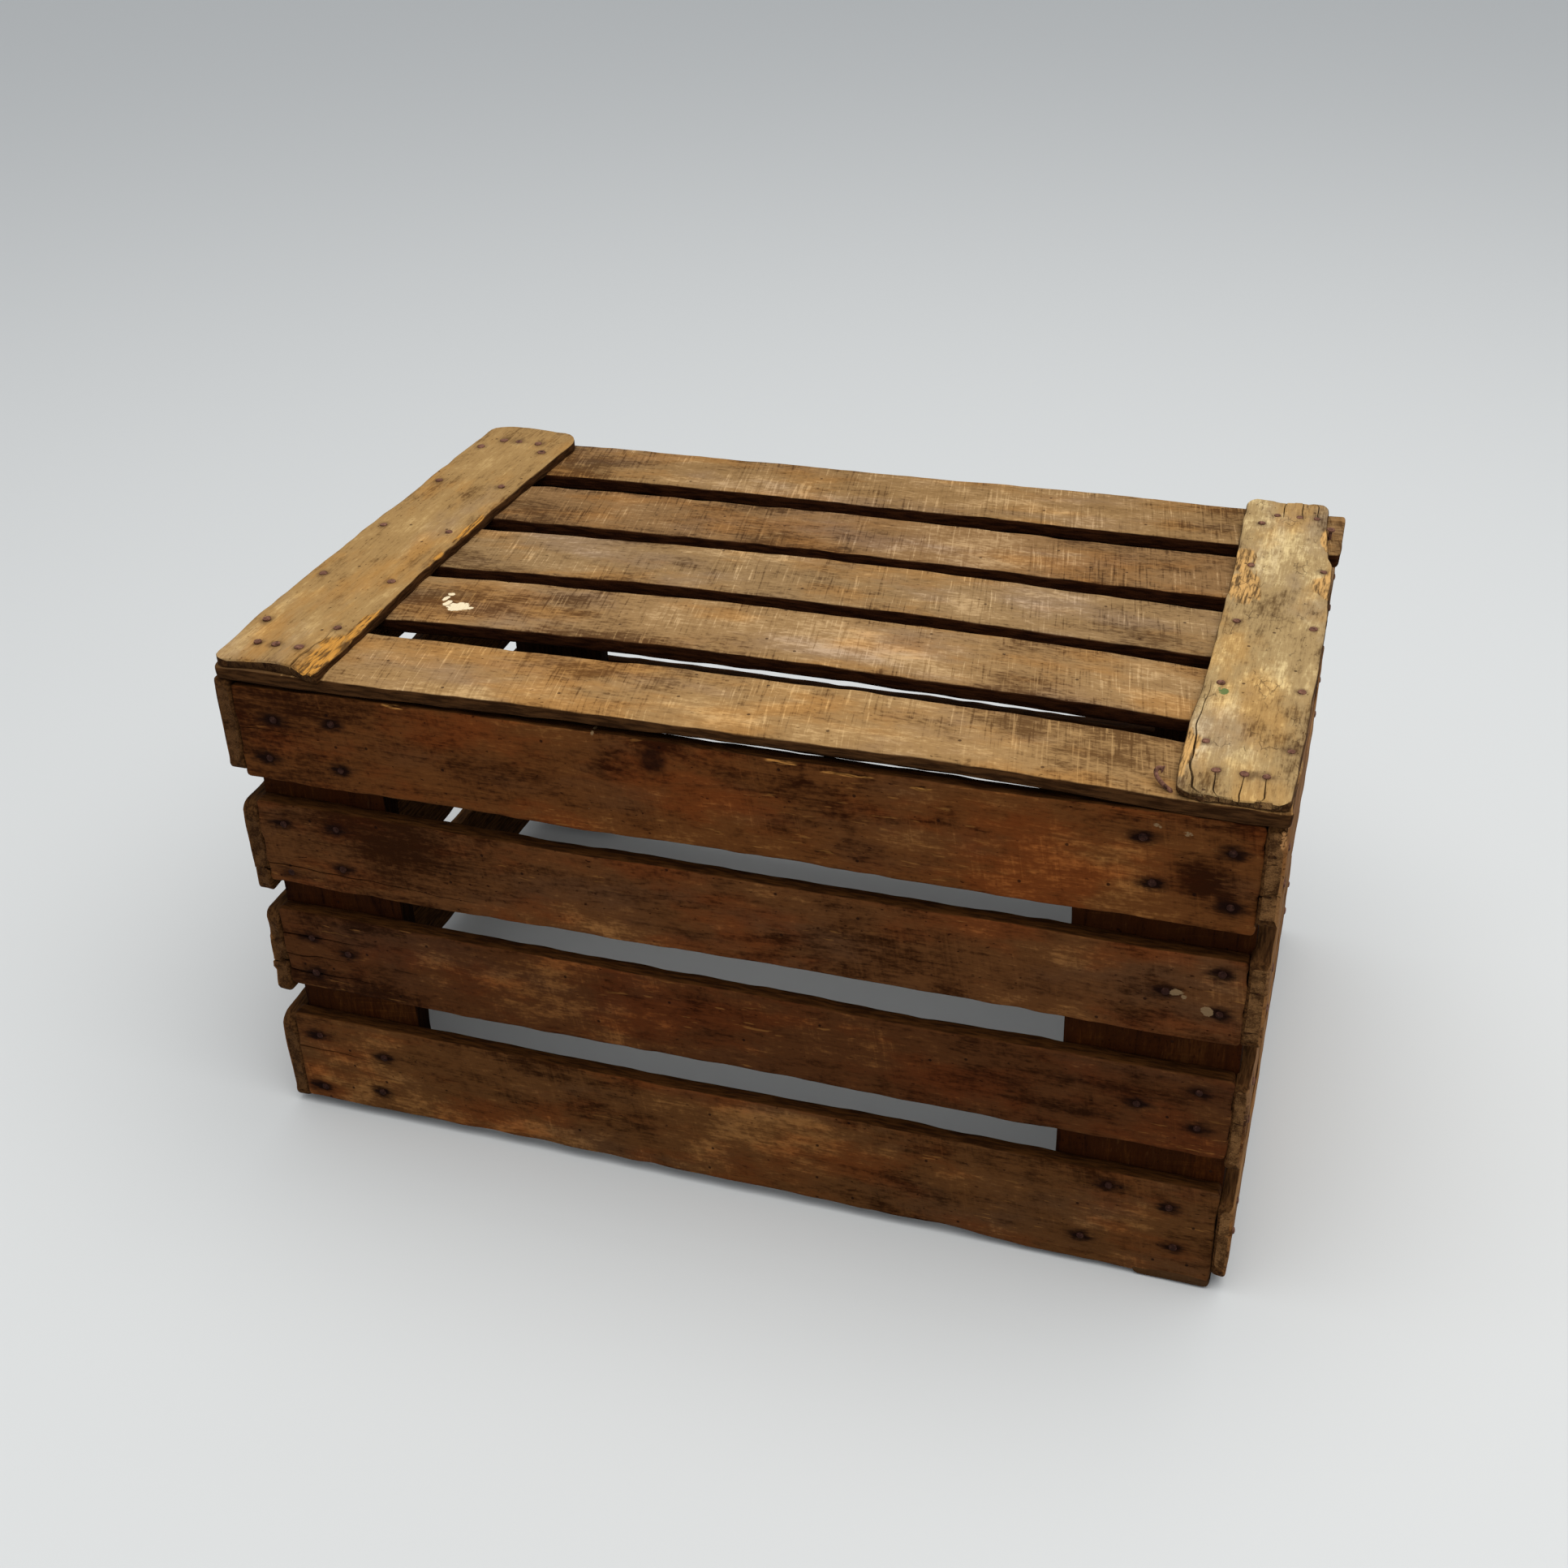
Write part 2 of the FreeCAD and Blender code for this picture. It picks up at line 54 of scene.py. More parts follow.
def wander(rng, at, pitch, reach):
    """A smooth random line over the places at, which turns about every pitch and stays within reach."""
    steps = (at - at.min()) / pitch
    marks = rng.uniform(-reach, reach, int(steps.max()) + 3)
    first = steps.astype(int)
    part = steps - first
    part = part * part * (3 - 2 * part)
    return marks[first] * (1 - part) + marks[first + 1] * part


def board_frame(node, axes, thickness):
    """Where a board starts in its CAD node's box, and its length, width and thickness there."""
    lowest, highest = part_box(node)
    whole = axes[0] + axes[1] + axes[2]
    start = Vector(lowest[i] if whole[i] > 0 else highest[i] for i in range(3)) / MM
    length, width, depth = (abs((highest - lowest).dot(axis)) / MM for axis in axes)
    return start, length, width, thickness or depth


def with_dabs(places, dabs, way):
    """Adds places close together round each dab of paint, along it (way 0) or across it (way 1)."""
    for dab in dabs:
        for share in (-1.3, -0.9, -0.45, 0, 0.45, 0.9, 1.3):
            own = dab[way] + share * dab[way + 2]
            if np.abs(places - own).min() > 0.4:
                places = np.append(places, own)
    return places


def places_along(length, radius, pitch, driven, dabs):
    """Places along a board: close together where its ends turn, at nails and dabs, and else a pitch apart."""
    turn = radius * (1 - np.cos(np.linspace(0, math.pi / 2, 7)))
    middle = np.linspace(radius, length - radius, max(3, round((length - 2 * radius) / pitch)))
    nails = np.concatenate([driven[:, 0] + shift for shift in (-3, 0, 3)])
    return np.unique(np.round(with_dabs(np.concatenate([turn, middle, length - turn, nails]), dabs, 0), 2))


def long_edge(rng, u, base, line, wave):
    """A board's long edge: a given line of (place, offset) pairs with the unevenness of the saw."""
    return base + np.interp(u, *zip(*line)) + wander(rng, u, 70, wave) + wander(rng, u, 9, wave / 3)


def round_off(lo, hi, u, length, corners):
    """Draws the long edges in where the start's and the finish's low and high corners are worn round."""
    gaps = (u, u, length - u, length - u)
    for edge, sign, radius, gap in zip((lo, hi, lo, hi), (1, -1, 1, -1), corners, gaps):
        inside = np.clip(radius - gap, 0, radius)
        edge += sign * (radius - np.sqrt(radius**2 - inside**2))


def columns_across(rng, u, length, face_lo, face_hi, splits, driven, dabs):
    """Shares across the face, a few close to each edge and three for each split, and how deep each lies."""
    width = np.median(face_hi - face_lo)
    near = np.array([1.5, 4, width - 4, width - 1.5])
    edge = np.median(face_lo)
    shares = np.concatenate([np.linspace(0, width, max(4, round(width / 5.5))), near, driven[:, 1] - edge])
    shares = (with_dabs(shares + edge, dabs, 1) - edge) / width
    shares = np.unique(np.round(np.clip(shares, 0, 1), 3))
    columns, depths = [], []
    for begin, begin_at, stop, stop_at, mouth, depth in splits:
        path = np.interp(u, (begin, stop), (begin_at, stop_at)) + wander(rng, u, 12, 0.7)
        rise = 1 if begin <= 0 else np.clip((u - begin) / (0.3 * (stop - begin)), 0, 1)
        fall = 1 if stop >= length else np.clip((stop - u) / (0.8 * (stop - begin)), 0, 1)
        opened = rise * fall * ((u >= begin) & (u <= stop))
        path = np.clip(path - np.median(face_lo[(u >= begin) & (u <= stop)]), 2.5, width - 2.5)
        free = (shares * width < path.min() - 2.0) | (shares * width > path.max() + 2.0)
        shares = shares[free | (shares == 0) | (shares == 1)]
        for side in (-1, 0, 1):
            columns.append((path + side * (0.2 + mouth / 2 * opened)) / width)
            depths.append(depth * opened * (side == 0))
    columns += [np.full_like(u, share) for share in shares]
    depths += [np.zeros_like(u)] * len(shares)
    order = np.argsort([column.mean() for column in columns])
    return np.clip(np.array(columns)[order].T, 0, 1), np.array(depths)[order].T


def broken_places(u, v, breaks):
    """Where wood has broken out of the face, from 0 to 1, and how deep."""
    broken, hollow = np.zeros_like(v), np.zeros_like(v)
    for place, across, reach, breadth, depth in breaks:
        rim = ((u - place) / reach) ** 2 + ((v - across) / breadth) ** 2
        rim = rim + 0.35 * np.sin(v * 2.1 + place) * np.sin(u / 7 + across)
        spot = np.clip(1.6 - 1.6 * rim, 0, 1)
        broken = np.maximum(broken, spot)
        hollow = np.maximum(hollow, depth * spot * (0.7 + 0.3 * np.sin(v * 1.9 + u / 30)))
    return broken, hollow


def spread(u, v, spots):
    """How strongly the nearest of some (place, across, length, width, strength) spots marks each point."""
    strength = np.zeros_like(v)
    for place, across, reach, breadth, full in spots:
        rim = ((u - place) / reach) ** 2 + ((v - across) / breadth) ** 2
        strength = np.maximum(strength, full * np.exp(-rim))
    return strength


def round_the_ring(face, edge, inner):
    """Values of the outer face, the two edges and the inner face, in the order of a ring's points."""
    high_edge = np.repeat(face[:, -1:], EDGE_POINTS, 1) if edge is None else np.tile(edge, (len(face), 1))
    low_edge = np.repeat(face[:, :1], EDGE_POINTS, 1) if edge is None else np.tile(edge[::-1], (len(face), 1))
    return np.concatenate([face, high_edge, inner[:, ::-1], low_edge], 1)


def rings_of(v, outer, inner, worn, bulge):
    """Across and out of each ring's points: outer face, high edge, inner face and low edge."""
    turn = np.radians((30, 60, 90))
    side, drop = worn[:, None] * np.sin(turn), worn[:, None] * (1 - np.cos(turn))
    reach = np.concatenate([side, side[:, -1:] + bulge[:, None], side[:, ::-1]], 1)
    levels = []
    for last in (-1, 0):
        top, under = outer[:, [last]], inner[:, [last]]
        levels.append(np.concatenate([top - drop, (top + under) / 2, under + drop[:, ::-1]], 1))
    across = np.concatenate([v, v[:, -1:] + reach, v[:, ::-1], v[:, :1] - reach[:, ::-1]], 1)
    out = np.concatenate([outer, levels[0], inner[:, ::-1], levels[1][:, ::-1]], 1)
    return across, out


def ring_faces(places, count, turns):
    """Faces between the rings, and then the faces of the two ends."""
    around = np.arange(turns)
    a = (np.arange(places - 1) * turns)[:, None] + around
    b = (np.arange(places - 1) * turns)[:, None] + np.roll(around, -1)
    sides = np.stack([a, a + turns, b + turns, b], -1).reshape(-1, 4).tolist()
    under = [2 * count + EDGE_POINTS - 1 - j for j in range(count)]
    cap = [[j, j + 1, under[j + 1], under[j]] for j in range(count - 1)]
    cap += [list(range(count - 1, count + EDGE_POINTS + 1)), [*range(under[0], turns), 0]]
    far = (places - 1) * turns
    return sides, cap + [[far + k for k in reversed(face)] for face in cap]


EDGE_POINTS = 7


def plank(name, node, axes, seed, finish, slot, thickness=None, arris=1.5, wave=0.7, end_wave=1.0,
          corners=(3, 3, 3, 3), low=((0, 0),), high=((0, 0),), start_cut=((0, 0),), finish_cut=((0, 0),),
          bow=0.0, bow_span=(0, 0), bow_peak=0.5, set_out=0.0, splits=(), breaks=(), worn_down=(),
          stains=(), dabs=(), knot=None, nails=(), halo=(14, 5)):
    """A sawn board in a CAD node's box, worn and split, with the places that its finish reads on each point.

    axes are the ways along, across and out. low and high are (place, offset) pairs of the two long edges, and
    start_cut and finish_cut are (across, offset) pairs of the ends. corners are the radii of the start's low
    and high and the finish's low and high corner. splits are (start, across, finish, across, mouth, depth).
    breaks and worn_down are (place, across, length, width, depth). stains and dabs of paint are (place,
    across, length, width, strength), and a knot is (place, across, radius). bow lifts the board between
    bow_span from its ends, most at bow_peak. set_out moves the board out. halo is how far a nail's rust runs
    along and across.
    """
    rng = np.random.default_rng(seed)
    ring_pitch, end_depth, edge_reach = 4.0, 25, 8
    apart_in_log = np.array([311.0, 173.0, 97.0])
    start, length, width, thick = board_frame(node, axes, thickness)
    driven = [Vector(nail) / MM - start for nail in nails]
    driven = np.array([(nail.dot(axes[0]), nail.dot(axes[1])) for nail in driven]).reshape(-1, 2)
    u = places_along(length, max(ring_pitch, *corners), ring_pitch, driven, dabs)
    lo, hi = long_edge(rng, u, 0, low, wave), long_edge(rng, u, width, high, wave)
    round_off(lo, hi, u, length, corners)
    wear = arris + wander(rng, u, 14, 0.6 * arris) + wander(rng, u, 45, 0.4 * arris)
    worn = np.clip(wear, 0.4, 0.45 * thick)
    from_end = np.clip(np.minimum(u, length - u), 0, arris)
    inset = arris - np.sqrt(arris**2 - (arris - from_end) ** 2)
    face_lo, face_hi = lo + inset + worn, hi - inset - worn
    share, deep = columns_across(rng, u, length, face_lo, face_hi, splits, driven, dabs)
    deep = np.minimum(deep, 0.48 * thick)
    v = face_lo[:, None] + share * (face_hi - face_lo)[:, None]
    at = np.repeat(u[:, None], v.shape[1], 1)

    lean = math.log(0.5) / math.log(bow_peak)
    arch_at = np.clip((at - bow_span[0]) / (length - sum(bow_span)), 0, 1) ** lean
    arch = bow * (1 - (2 * arch_at - 1) ** 2)
    cup = wander(rng, u, 160, 0.5)[:, None] * (2 * share - 1) ** 2
    ripple = sum(
        rng.uniform(0.04, 0.12) * np.sin(at / rng.uniform(4, 22) + v / rng.uniform(3, 9) + rng.uniform(0, 6))
        for _ in range(5)
    )
    broken, hollow = broken_places(at, v, breaks)
    hollow = hollow + spread(at, v, worn_down)
    outer = thick + arch + cup + ripple - hollow - deep - inset[:, None]
    inner = arch + cup * 0.5 - ripple + deep + inset[:, None]
    across, out = rings_of(v, outer, inner, worn, rng.uniform(-0.15, 0.15, len(u)))
    turns = across.shape[1]
    ragged = wander(rng, np.arange(turns), 6, end_wave)
    start_pull = np.interp(across, *zip(*start_cut)) + ragged
    finish_pull = np.interp(across, *zip(*finish_cut)) + np.roll(ragged, 5)
    near_start, near_finish = (np.clip(1 - gap / end_depth, 0, 1)[:, None] for gap in (u, length - u))
    along = u[:, None] + near_start * start_pull + near_finish * finish_pull
    points = np.stack([along, across, out + set_out], -1).reshape(-1, 3)

    sides, ends = ring_faces(len(u), v.shape[1], turns)
    mesh = bpy.data.meshes.new(name)
    placed = np.array(start) + points @ np.array([list(axis) for axis in axes])
    mesh.from_pydata((placed * MM).tolist(), [], sides + ends)
    mesh.shade_smooth()
    mesh.set_sharp_from_angle(angle=math.radians(38))
    for material in finish:
        mesh.materials.append(material)
    mesh.polygons.foreach_set("material_index", np.repeat([0, 1], [len(sides), len(ends)]))

    # What the finish reads: the place in the log, the way from the knot, then rust, bare wood and stains,
    # then how near the edge is, what is side or inside (where painted shade goes), what is split, and then
    # dabs of paint
    none = np.zeros_like(v)
    rust = spread(at, v, [(place, where, *halo, 1.0) for place, where in driven])
    stained, dabbed = spread(at, v, stains), spread(at, v, dabs)
    gap = np.minimum(np.minimum(v - lo[:, None], hi[:, None] - v), np.minimum(at, length - at))
    nearness = np.clip(1 - gap / edge_reach, 0, 1)
    # Painted shade: the edges darken as they turn away from the face, and the inner face takes it at 0.85
    edge_turn_shade = np.array([0.25, 0.7, 1, 1, 1, 1, 1])
    crack = (deep > 0.05) * 1.0
    from_knot = np.full_like(points, 99.0)
    if knot:
        knot_radius = np.full(len(points), knot[2] * MM)
        from_knot = np.column_stack([(points[:, :2] - knot[:2]) / knot[2], knot_radius])
    for label, values in (
        ("grain_at", (points + apart_in_log * seed) * MM),
        ("knot_at", from_knot),
        ("marks_at", [(rust, None, none), (broken, None, none), (stained, None, stained)]),
        ("edge_at", [(nearness, None, nearness), (none, edge_turn_shade, none + 0.85), (crack, None, crack)]),
        ("dabs_at", [(dabbed, None, none)] * 3),
    ):
        if isinstance(values, list):
            values = np.stack([round_the_ring(*rows) for rows in values], -1)
        mark = mesh.attributes.new(label, "FLOAT_VECTOR", "POINT")
        mark.data.foreach_set("vector", values.astype(np.float32).ravel())

    piece = bpy.data.objects.new(name, mesh)
    bpy.context.scene.collection.objects.link(piece)
    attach(piece, "root")
    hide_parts(node)


class Mixer:
    """Writes a finish as shader nodes, in the order in which it would be mixed."""

    def __init__(self, tree):
        self.tree = tree

    def node(self, kind, sockets, **settings):
        made = self.tree.nodes.new(kind)
        for key, value in settings.items():
            setattr(made, key, value)
        for key, value in sockets.items():
            if isinstance(value, bpy.types.NodeSocket):
                self.tree.links.new(value, made.inputs[key])
            else:
                made.inputs[key].default_value = value
        return made

    def maths(self, operation, first, second=0.0, third=0.0):
        return self.node("ShaderNodeMath", {0: first, 1: second, 2: third}, operation=operation).outputs[0]

    def noise(self, at, stretch, detail=2.0, roughness=0.5):
        placed = self.node("ShaderNodeVectorMath", {0: at, 1: stretch}, operation="MULTIPLY").outputs[0]
        sockets = {"Vector": placed, "Scale": 1.0, "Detail": detail, "Roughness": roughness}
        return self.node("ShaderNodeTexNoise", sockets).outputs["Fac"]

    def step(self, value, low, high):
        sockets = {"Value": value, "From Min": low, "From Max": high}
        return self.node("ShaderNodeMapRange", sockets, interpolation_type="SMOOTHSTEP").outputs["Result"]

    def mix(self, share, first, second, kind="MIX"):
        sockets = {0: share, 6: first, 7: second}
        return self.node("ShaderNodeMix", sockets, data_type="RGBA", blend_type=kind).outputs[2]

    def mark(self, name):
        return self.node("ShaderNodeAttribute", {}, attribute_name=name).outputs["Vector"]

    def split(self, vector):
        return self.node("ShaderNodeSeparateXYZ", {0: vector}).outputs

    def join(self, x, y, z):
        return self.node("ShaderNodeCombineXYZ", {0: x, 1: y, 2: z}).outputs[0]


def shared_effect(name, inputs, outputs):
    """An empty node group with named inputs and outputs, its mixer, and the two ends of it."""
    tree = bpy.data.node_groups.new(name, "ShaderNodeTree")
    for label, kind in inputs.items():
        tree.interface.new_socket(label, in_out="INPUT", socket_type=f"NodeSocket{kind}")
    for label, kind in outputs.items():
        tree.interface.new_socket(label, in_out="OUTPUT", socket_type=f"NodeSocket{kind}")
    mixer = Mixer(tree)
    return tree, mixer, mixer.node("NodeGroupInput", {}).outputs, mixer.node("NodeGroupOutput", {}).inputs


# Sawn wood as every board shows it: clouds of age and damp, growth rings that flow round the knots, fibres,
# thin saw marks across the grain, flakes, worm holes, rust round the nails, darker splits and bare wood where
# it broke, and painted shade on the edges and the inner face.
sawn_wood, mixer, given, result = shared_effect(
    "sawn_wood",
    {**dict.fromkeys(("Pale", "Middle", "Dark", "Warm", "Grey", "Fresh", "Rust", "Side", "Paint"), "Color"),
     **dict.fromkeys(("Figure", "Streaks", "Saw", "Clouds", "Mottle", "Fibre", "Grit", "Grime", "Flecks",
                      "Flakes", "Edge", "Halo"), "Float")},
    {"Color": "Color", "Height": "Float", "Roughness": "Float"},
)
at = mixer.mark("grain_at")
along, across, through = mixer.split(at)[:3]
knot_x, knot_y, knot_r = mixer.split(mixer.mark("knot_at"))[:3]
rust_near, bare_wood, stained = mixer.split(mixer.mark("marks_at"))[:3]
edge_near, side_shade_mask, split_darkening = mixer.split(mixer.mark("edge_at"))[:3]
dabbed = mixer.split(mixer.mark("dabs_at"))[0]
far_x = mixer.maths("MULTIPLY", mixer.maths("MULTIPLY", knot_x, knot_x), -0.05)
far_y = mixer.maths("MULTIPLY", mixer.maths("MULTIPLY", knot_y, knot_y), -0.22)
near_knot = mixer.maths("EXPONENT", mixer.maths("ADD", far_x, far_y))
knot_push = mixer.maths("MULTIPLY", near_knot, -0.85)
push = mixer.maths("MULTIPLY", mixer.maths("MULTIPLY", knot_y, knot_r), knot_push)
sway = mixer.maths("MULTIPLY_ADD", mixer.noise(at, (3.5, 7, 7), 1.0), 0.018, -0.009)
flow_across = mixer.maths("ADD", mixer.maths("ADD", across, push), sway)
flow = mixer.join(along, flow_across, through)

cloud = mixer.noise(at, (7, 15, 15), 3.0, 0.5)
mist = mixer.noise(at, (30, 58, 58), 5.0, 0.68)
fibre = mixer.noise(flow, (60, 540, 540), 3.0, 0.6)
grit = mixer.noise(at, (230, 400, 400), 2.0, 0.6)
hair = mixer.noise(flow, (90, 1300, 1300), 2.0, 0.6)
streak = mixer.step(mixer.noise(flow, (9, 210, 210), 3.0, 0.6), 0.55, 0.72)
ring_swell = mixer.noise(flow, (2.4, 16, 16), 2.0, 0.4)
ring_count = mixer.maths("MULTIPLY_ADD", ring_swell, 4.5, mixer.maths("MULTIPLY", flow_across, 95.0))
ring = mixer.maths("FRACT", ring_count)
late_wood = mixer.maths("MULTIPLY", mixer.step(ring, 0.35, 0.95), mixer.step(ring, 1.0, 0.95))
late_wood = mixer.maths("MULTIPLY", late_wood, mixer.step(mixer.noise(flow, (9, 70, 70), 3.0), 0.38, 0.62))
slant = mixer.join(mixer.maths("MULTIPLY_ADD", across, 0.16, along), across, through)
tooth = mixer.noise(slant, (600, 22, 22), 2.0, 0.5)
saw_patch = mixer.step(mixer.noise(slant, (15, 24, 24), 3.0, 0.6), 0.37, 0.60)
saw_dark = mixer.maths("MULTIPLY", mixer.step(tooth, 0.43, 0.32), 0.75)
saw = mixer.maths("SUBTRACT", mixer.step(tooth, 0.57, 0.68), saw_dark)
saw = mixer.maths("MULTIPLY", saw, mixer.maths("MULTIPLY_ADD", saw_patch, 0.85, 0.15))
grime = mixer.step(mixer.noise(at, (15, 34, 34), 5.0, 0.62), 0.54, 0.72)
speck = mixer.step(mixer.noise(at, (260, 520, 520), 1.0, 0.5), 0.70, 0.78)

tone = mixer.maths("MULTIPLY_ADD", mixer.maths("SUBTRACT", cloud, 0.5), given["Clouds"], 0.5)
tone = mixer.maths("MULTIPLY_ADD", mixer.maths("SUBTRACT", mist, 0.5), given["Mottle"], tone)
strands = mixer.maths("MULTIPLY_ADD", fibre, 0.60, mixer.maths("MULTIPLY_ADD", hair, 0.45, -0.525))
tone = mixer.maths("MULTIPLY_ADD", strands, given["Fibre"], tone)
tone = mixer.maths("MULTIPLY_ADD", mixer.maths("SUBTRACT", grit, 0.5), given["Grit"], tone)
tone = mixer.maths("MULTIPLY_ADD", saw, given["Saw"], tone)
soaked = mixer.maths("MULTIPLY", stained, mixer.maths("MULTIPLY_ADD", mixer.step(mist, 0.3, 0.6), 0.7, 0.3))
for layer, share in ((late_wood, given["Figure"]), (streak, given["Streaks"]), (grime, given["Grime"]),
                     (edge_near, given["Edge"]), (speck, 0.3), (soaked, 0.42)):
    tone = mixer.maths("SUBTRACT", tone, mixer.maths("MULTIPLY", layer, share))
colour = mixer.mix(mixer.step(tone, 0.0, 0.5), given["Dark"], given["Middle"])
colour = mixer.mix(mixer.step(tone, 0.5, 1.0), colour, given["Pale"])
warmed = mixer.step(mixer.noise(at, (11, 26, 26), 4.0, 0.6), 0.46, 0.66)
weathered = mixer.step(mixer.noise(at, (8, 20, 20), 5.0, 0.6), 0.48, 0.70)
colour = mixer.mix(warmed, colour, given["Warm"], "MULTIPLY")
colour = mixer.mix(weathered, colour, given["Grey"], "MULTIPLY")

fleck = mixer.step(mixer.noise(flow, (60, 420, 420), 2.0, 0.5), 0.64, 0.72)
fleck = mixer.maths("MULTIPLY", fleck, mixer.step(mixer.noise(at, (8, 30, 30), 2.0), 0.48, 0.62))
colour = mixer.mix(mixer.maths("MULTIPLY", fleck, given["Flecks"]), colour, given["Fresh"])
bare = mixer.step(mixer.maths("MULTIPLY_ADD", mist, 0.6, bare_wood), 0.55, 1.0)
torn = mixer.mix(mixer.step(fibre, 0.35, 0.6), given["Dark"], given["Fresh"])
colour = mixer.mix(mixer.maths("MULTIPLY", bare, mixer.step(bare_wood, 0.0, 0.25)), colour, torn)

knot_far = mixer.maths("MULTIPLY_ADD", knot_x, knot_x, mixer.maths("MULTIPLY", knot_y, knot_y))
knot_rim = mixer.noise(at, (110, 110, 110), 3.0)
knot_far = mixer.maths("MULTIPLY_ADD", knot_rim, 0.7, mixer.maths("SQRT", knot_far))
knot_depth = mixer.maths("MULTIPLY_ADD", mist, 0.6, 0.4)
knot_face = mixer.maths("MULTIPLY", mixer.step(knot_far, 1.6, 0.9), knot_depth)
colour = mixer.mix(knot_face, colour, given["Rust"])

cells = mixer.node("ShaderNodeTexVoronoi", {"Vector": at, "Scale": 42.0}, voronoi_dimensions="2D").outputs
eaten = mixer.maths("GREATER_THAN", mixer.split(cells["Color"])[0], 0.8)
worm_hole = mixer.maths("MULTIPLY", mixer.step(cells["Distance"], 0.05, 0.03), eaten)
worm_hole = mixer.maths("MULTIPLY", worm_hole, mixer.maths("LESS_THAN", side_shade_mask, 0.1))
colour = mixer.mix(mixer.maths("MULTIPLY", worm_hole, 0.8), colour, given["Rust"])

bent_at = mixer.maths("MULTIPLY_ADD", mixer.noise(at, (160, 160, 160), 2.0), 0.012, along)
flake_along = mixer.maths("MULTIPLY", bent_at, 105.0)
flake_across = mixer.maths("MULTIPLY_ADD", fibre, 0.6, mixer.maths("MULTIPLY", across, 170.0))
flaking = mixer.join(flake_along, flake_across, 0.0)
rims = mixer.node("ShaderNodeTexVoronoi", {"Vector": flaking, "Scale": 1.0}, voronoi_dimensions="2D",
                  feature="DISTANCE_TO_EDGE").outputs["Distance"]
flake_patch = mixer.step(mixer.noise(at, (26, 44, 44), 4.0, 0.65), 0.54, 0.62)
flake = mixer.maths("MULTIPLY", mixer.step(rims, 0.07, 0.02), flake_patch)
flake = mixer.maths("MULTIPLY", flake, given["Flakes"])
colour = mixer.mix(flake, colour, given["Rust"])

# Painted shade: edges and the inner face take the dark side colour, for the shade in the gaps and inside the
# crate
side = mixer.step(mixer.maths("MULTIPLY_ADD", mist, 0.7, side_shade_mask), 0.6, 1.15)
side_shade_tone = mixer.mix(mixer.step(fibre, 0.65, 0.35), given["Side"], (0.35, 0.32, 0.30, 1.0), "MULTIPLY")
colour = mixer.mix(side, colour, side_shade_tone)
smudge = mixer.noise(at, (130, 360, 360), 3.0, 0.6)
smudge = mixer.maths("MULTIPLY_ADD", smudge, 0.9, mixer.maths("SUBTRACT", rust_near, 0.45))
rust = mixer.maths("MULTIPLY", mixer.step(smudge, 0.2, 0.95), given["Halo"])
colour = mixer.mix(rust, colour, given["Rust"])
# Splits are darkened towards the rust colour
colour = mixer.mix(mixer.maths("MULTIPLY", split_darkening, 0.9), colour, given["Rust"])
frayed = mixer.noise(at, (200, 260, 260), 3.0, 0.6)
ragged = mixer.maths("MULTIPLY_ADD", frayed, 1.6, mixer.maths("SUBTRACT", mist, 1.3))
dab = mixer.maths("MULTIPLY_ADD", ragged, mixer.step(dabbed, 0.05, 0.4), dabbed)
colour = mixer.mix(mixer.maths("MULTIPLY", mixer.step(dab, 0.38, 0.55), 0.92), colour, given["Paint"])
mixer.tree.links.new(colour, result["Color"])

height = mixer.maths("MULTIPLY_ADD", fibre, 0.7, mixer.maths("MULTIPLY", hair, 0.4))
height = mixer.maths("MULTIPLY_ADD", mist, 0.9, mixer.maths("MULTIPLY_ADD", grit, given["Grit"], height))
height = mixer.maths("MULTIPLY_ADD", saw, mixer.maths("MULTIPLY", given["Saw"], 1.2), height)
pitted = mixer.maths("MULTIPLY_ADD", worm_hole, 2.0, speck)
height = mixer.maths("MULTIPLY_ADD", pitted, -0.6, height)
height = mixer.maths("SUBTRACT", height, flake)
mixer.tree.links.new(height, result["Height"])
mixer.tree.links.new(mixer.maths("MULTIPLY_ADD", mist, -0.3, 1.0), result["Roughness"])

# The ends of the boards: cut across the grain, so they show arcs of growth rings, pores and drying cracks
end_grain, mixer, given, result = shared_effect(
    "end_grain",
    {"Pale": "Color", "Dark": "Color"},
    {"Color": "Color", "Height": "Float"},
)
at = mixer.mark("grain_at")
along, across, through = mixer.split(at)[:3]
arc = mixer.maths("MULTIPLY_ADD", mixer.maths("MULTIPLY", across, across), 9.0, through)
arc = mixer.maths("MULTIPLY_ADD", mixer.noise(at, (0, 60, 60), 2.0), 0.006, arc)
ring = mixer.maths("FRACT", mixer.maths("MULTIPLY", arc, 330.0))
pores = mixer.step(mixer.noise(at, (300, 1000, 1000), 3.0, 0.6), 0.3, 0.7)
dirt = mixer.step(mixer.noise(at, (60, 110, 110), 4.0, 0.65), 0.3, 0.7)
crack = mixer.step(mixer.noise(at, (0, 420, 60), 3.0, 0.6), 0.62, 0.68)
tone = mixer.maths("MULTIPLY_ADD", pores, 0.4, mixer.maths("MULTIPLY", dirt, 0.8))
tone = mixer.maths("MULTIPLY_ADD", ring, -0.15, mixer.maths("MULTIPLY_ADD", crack, -0.6, tone))
colour = mixer.mix(mixer.step(tone, 0.0, 1.0), given["Dark"], given["Pale"])
mixer.tree.links.new(colour, result["Color"])
height = mixer.maths("MULTIPLY_ADD", crack, -1.5, mixer.maths("ADD", pores, dirt))
mixer.tree.links.new(height, result["Height"])


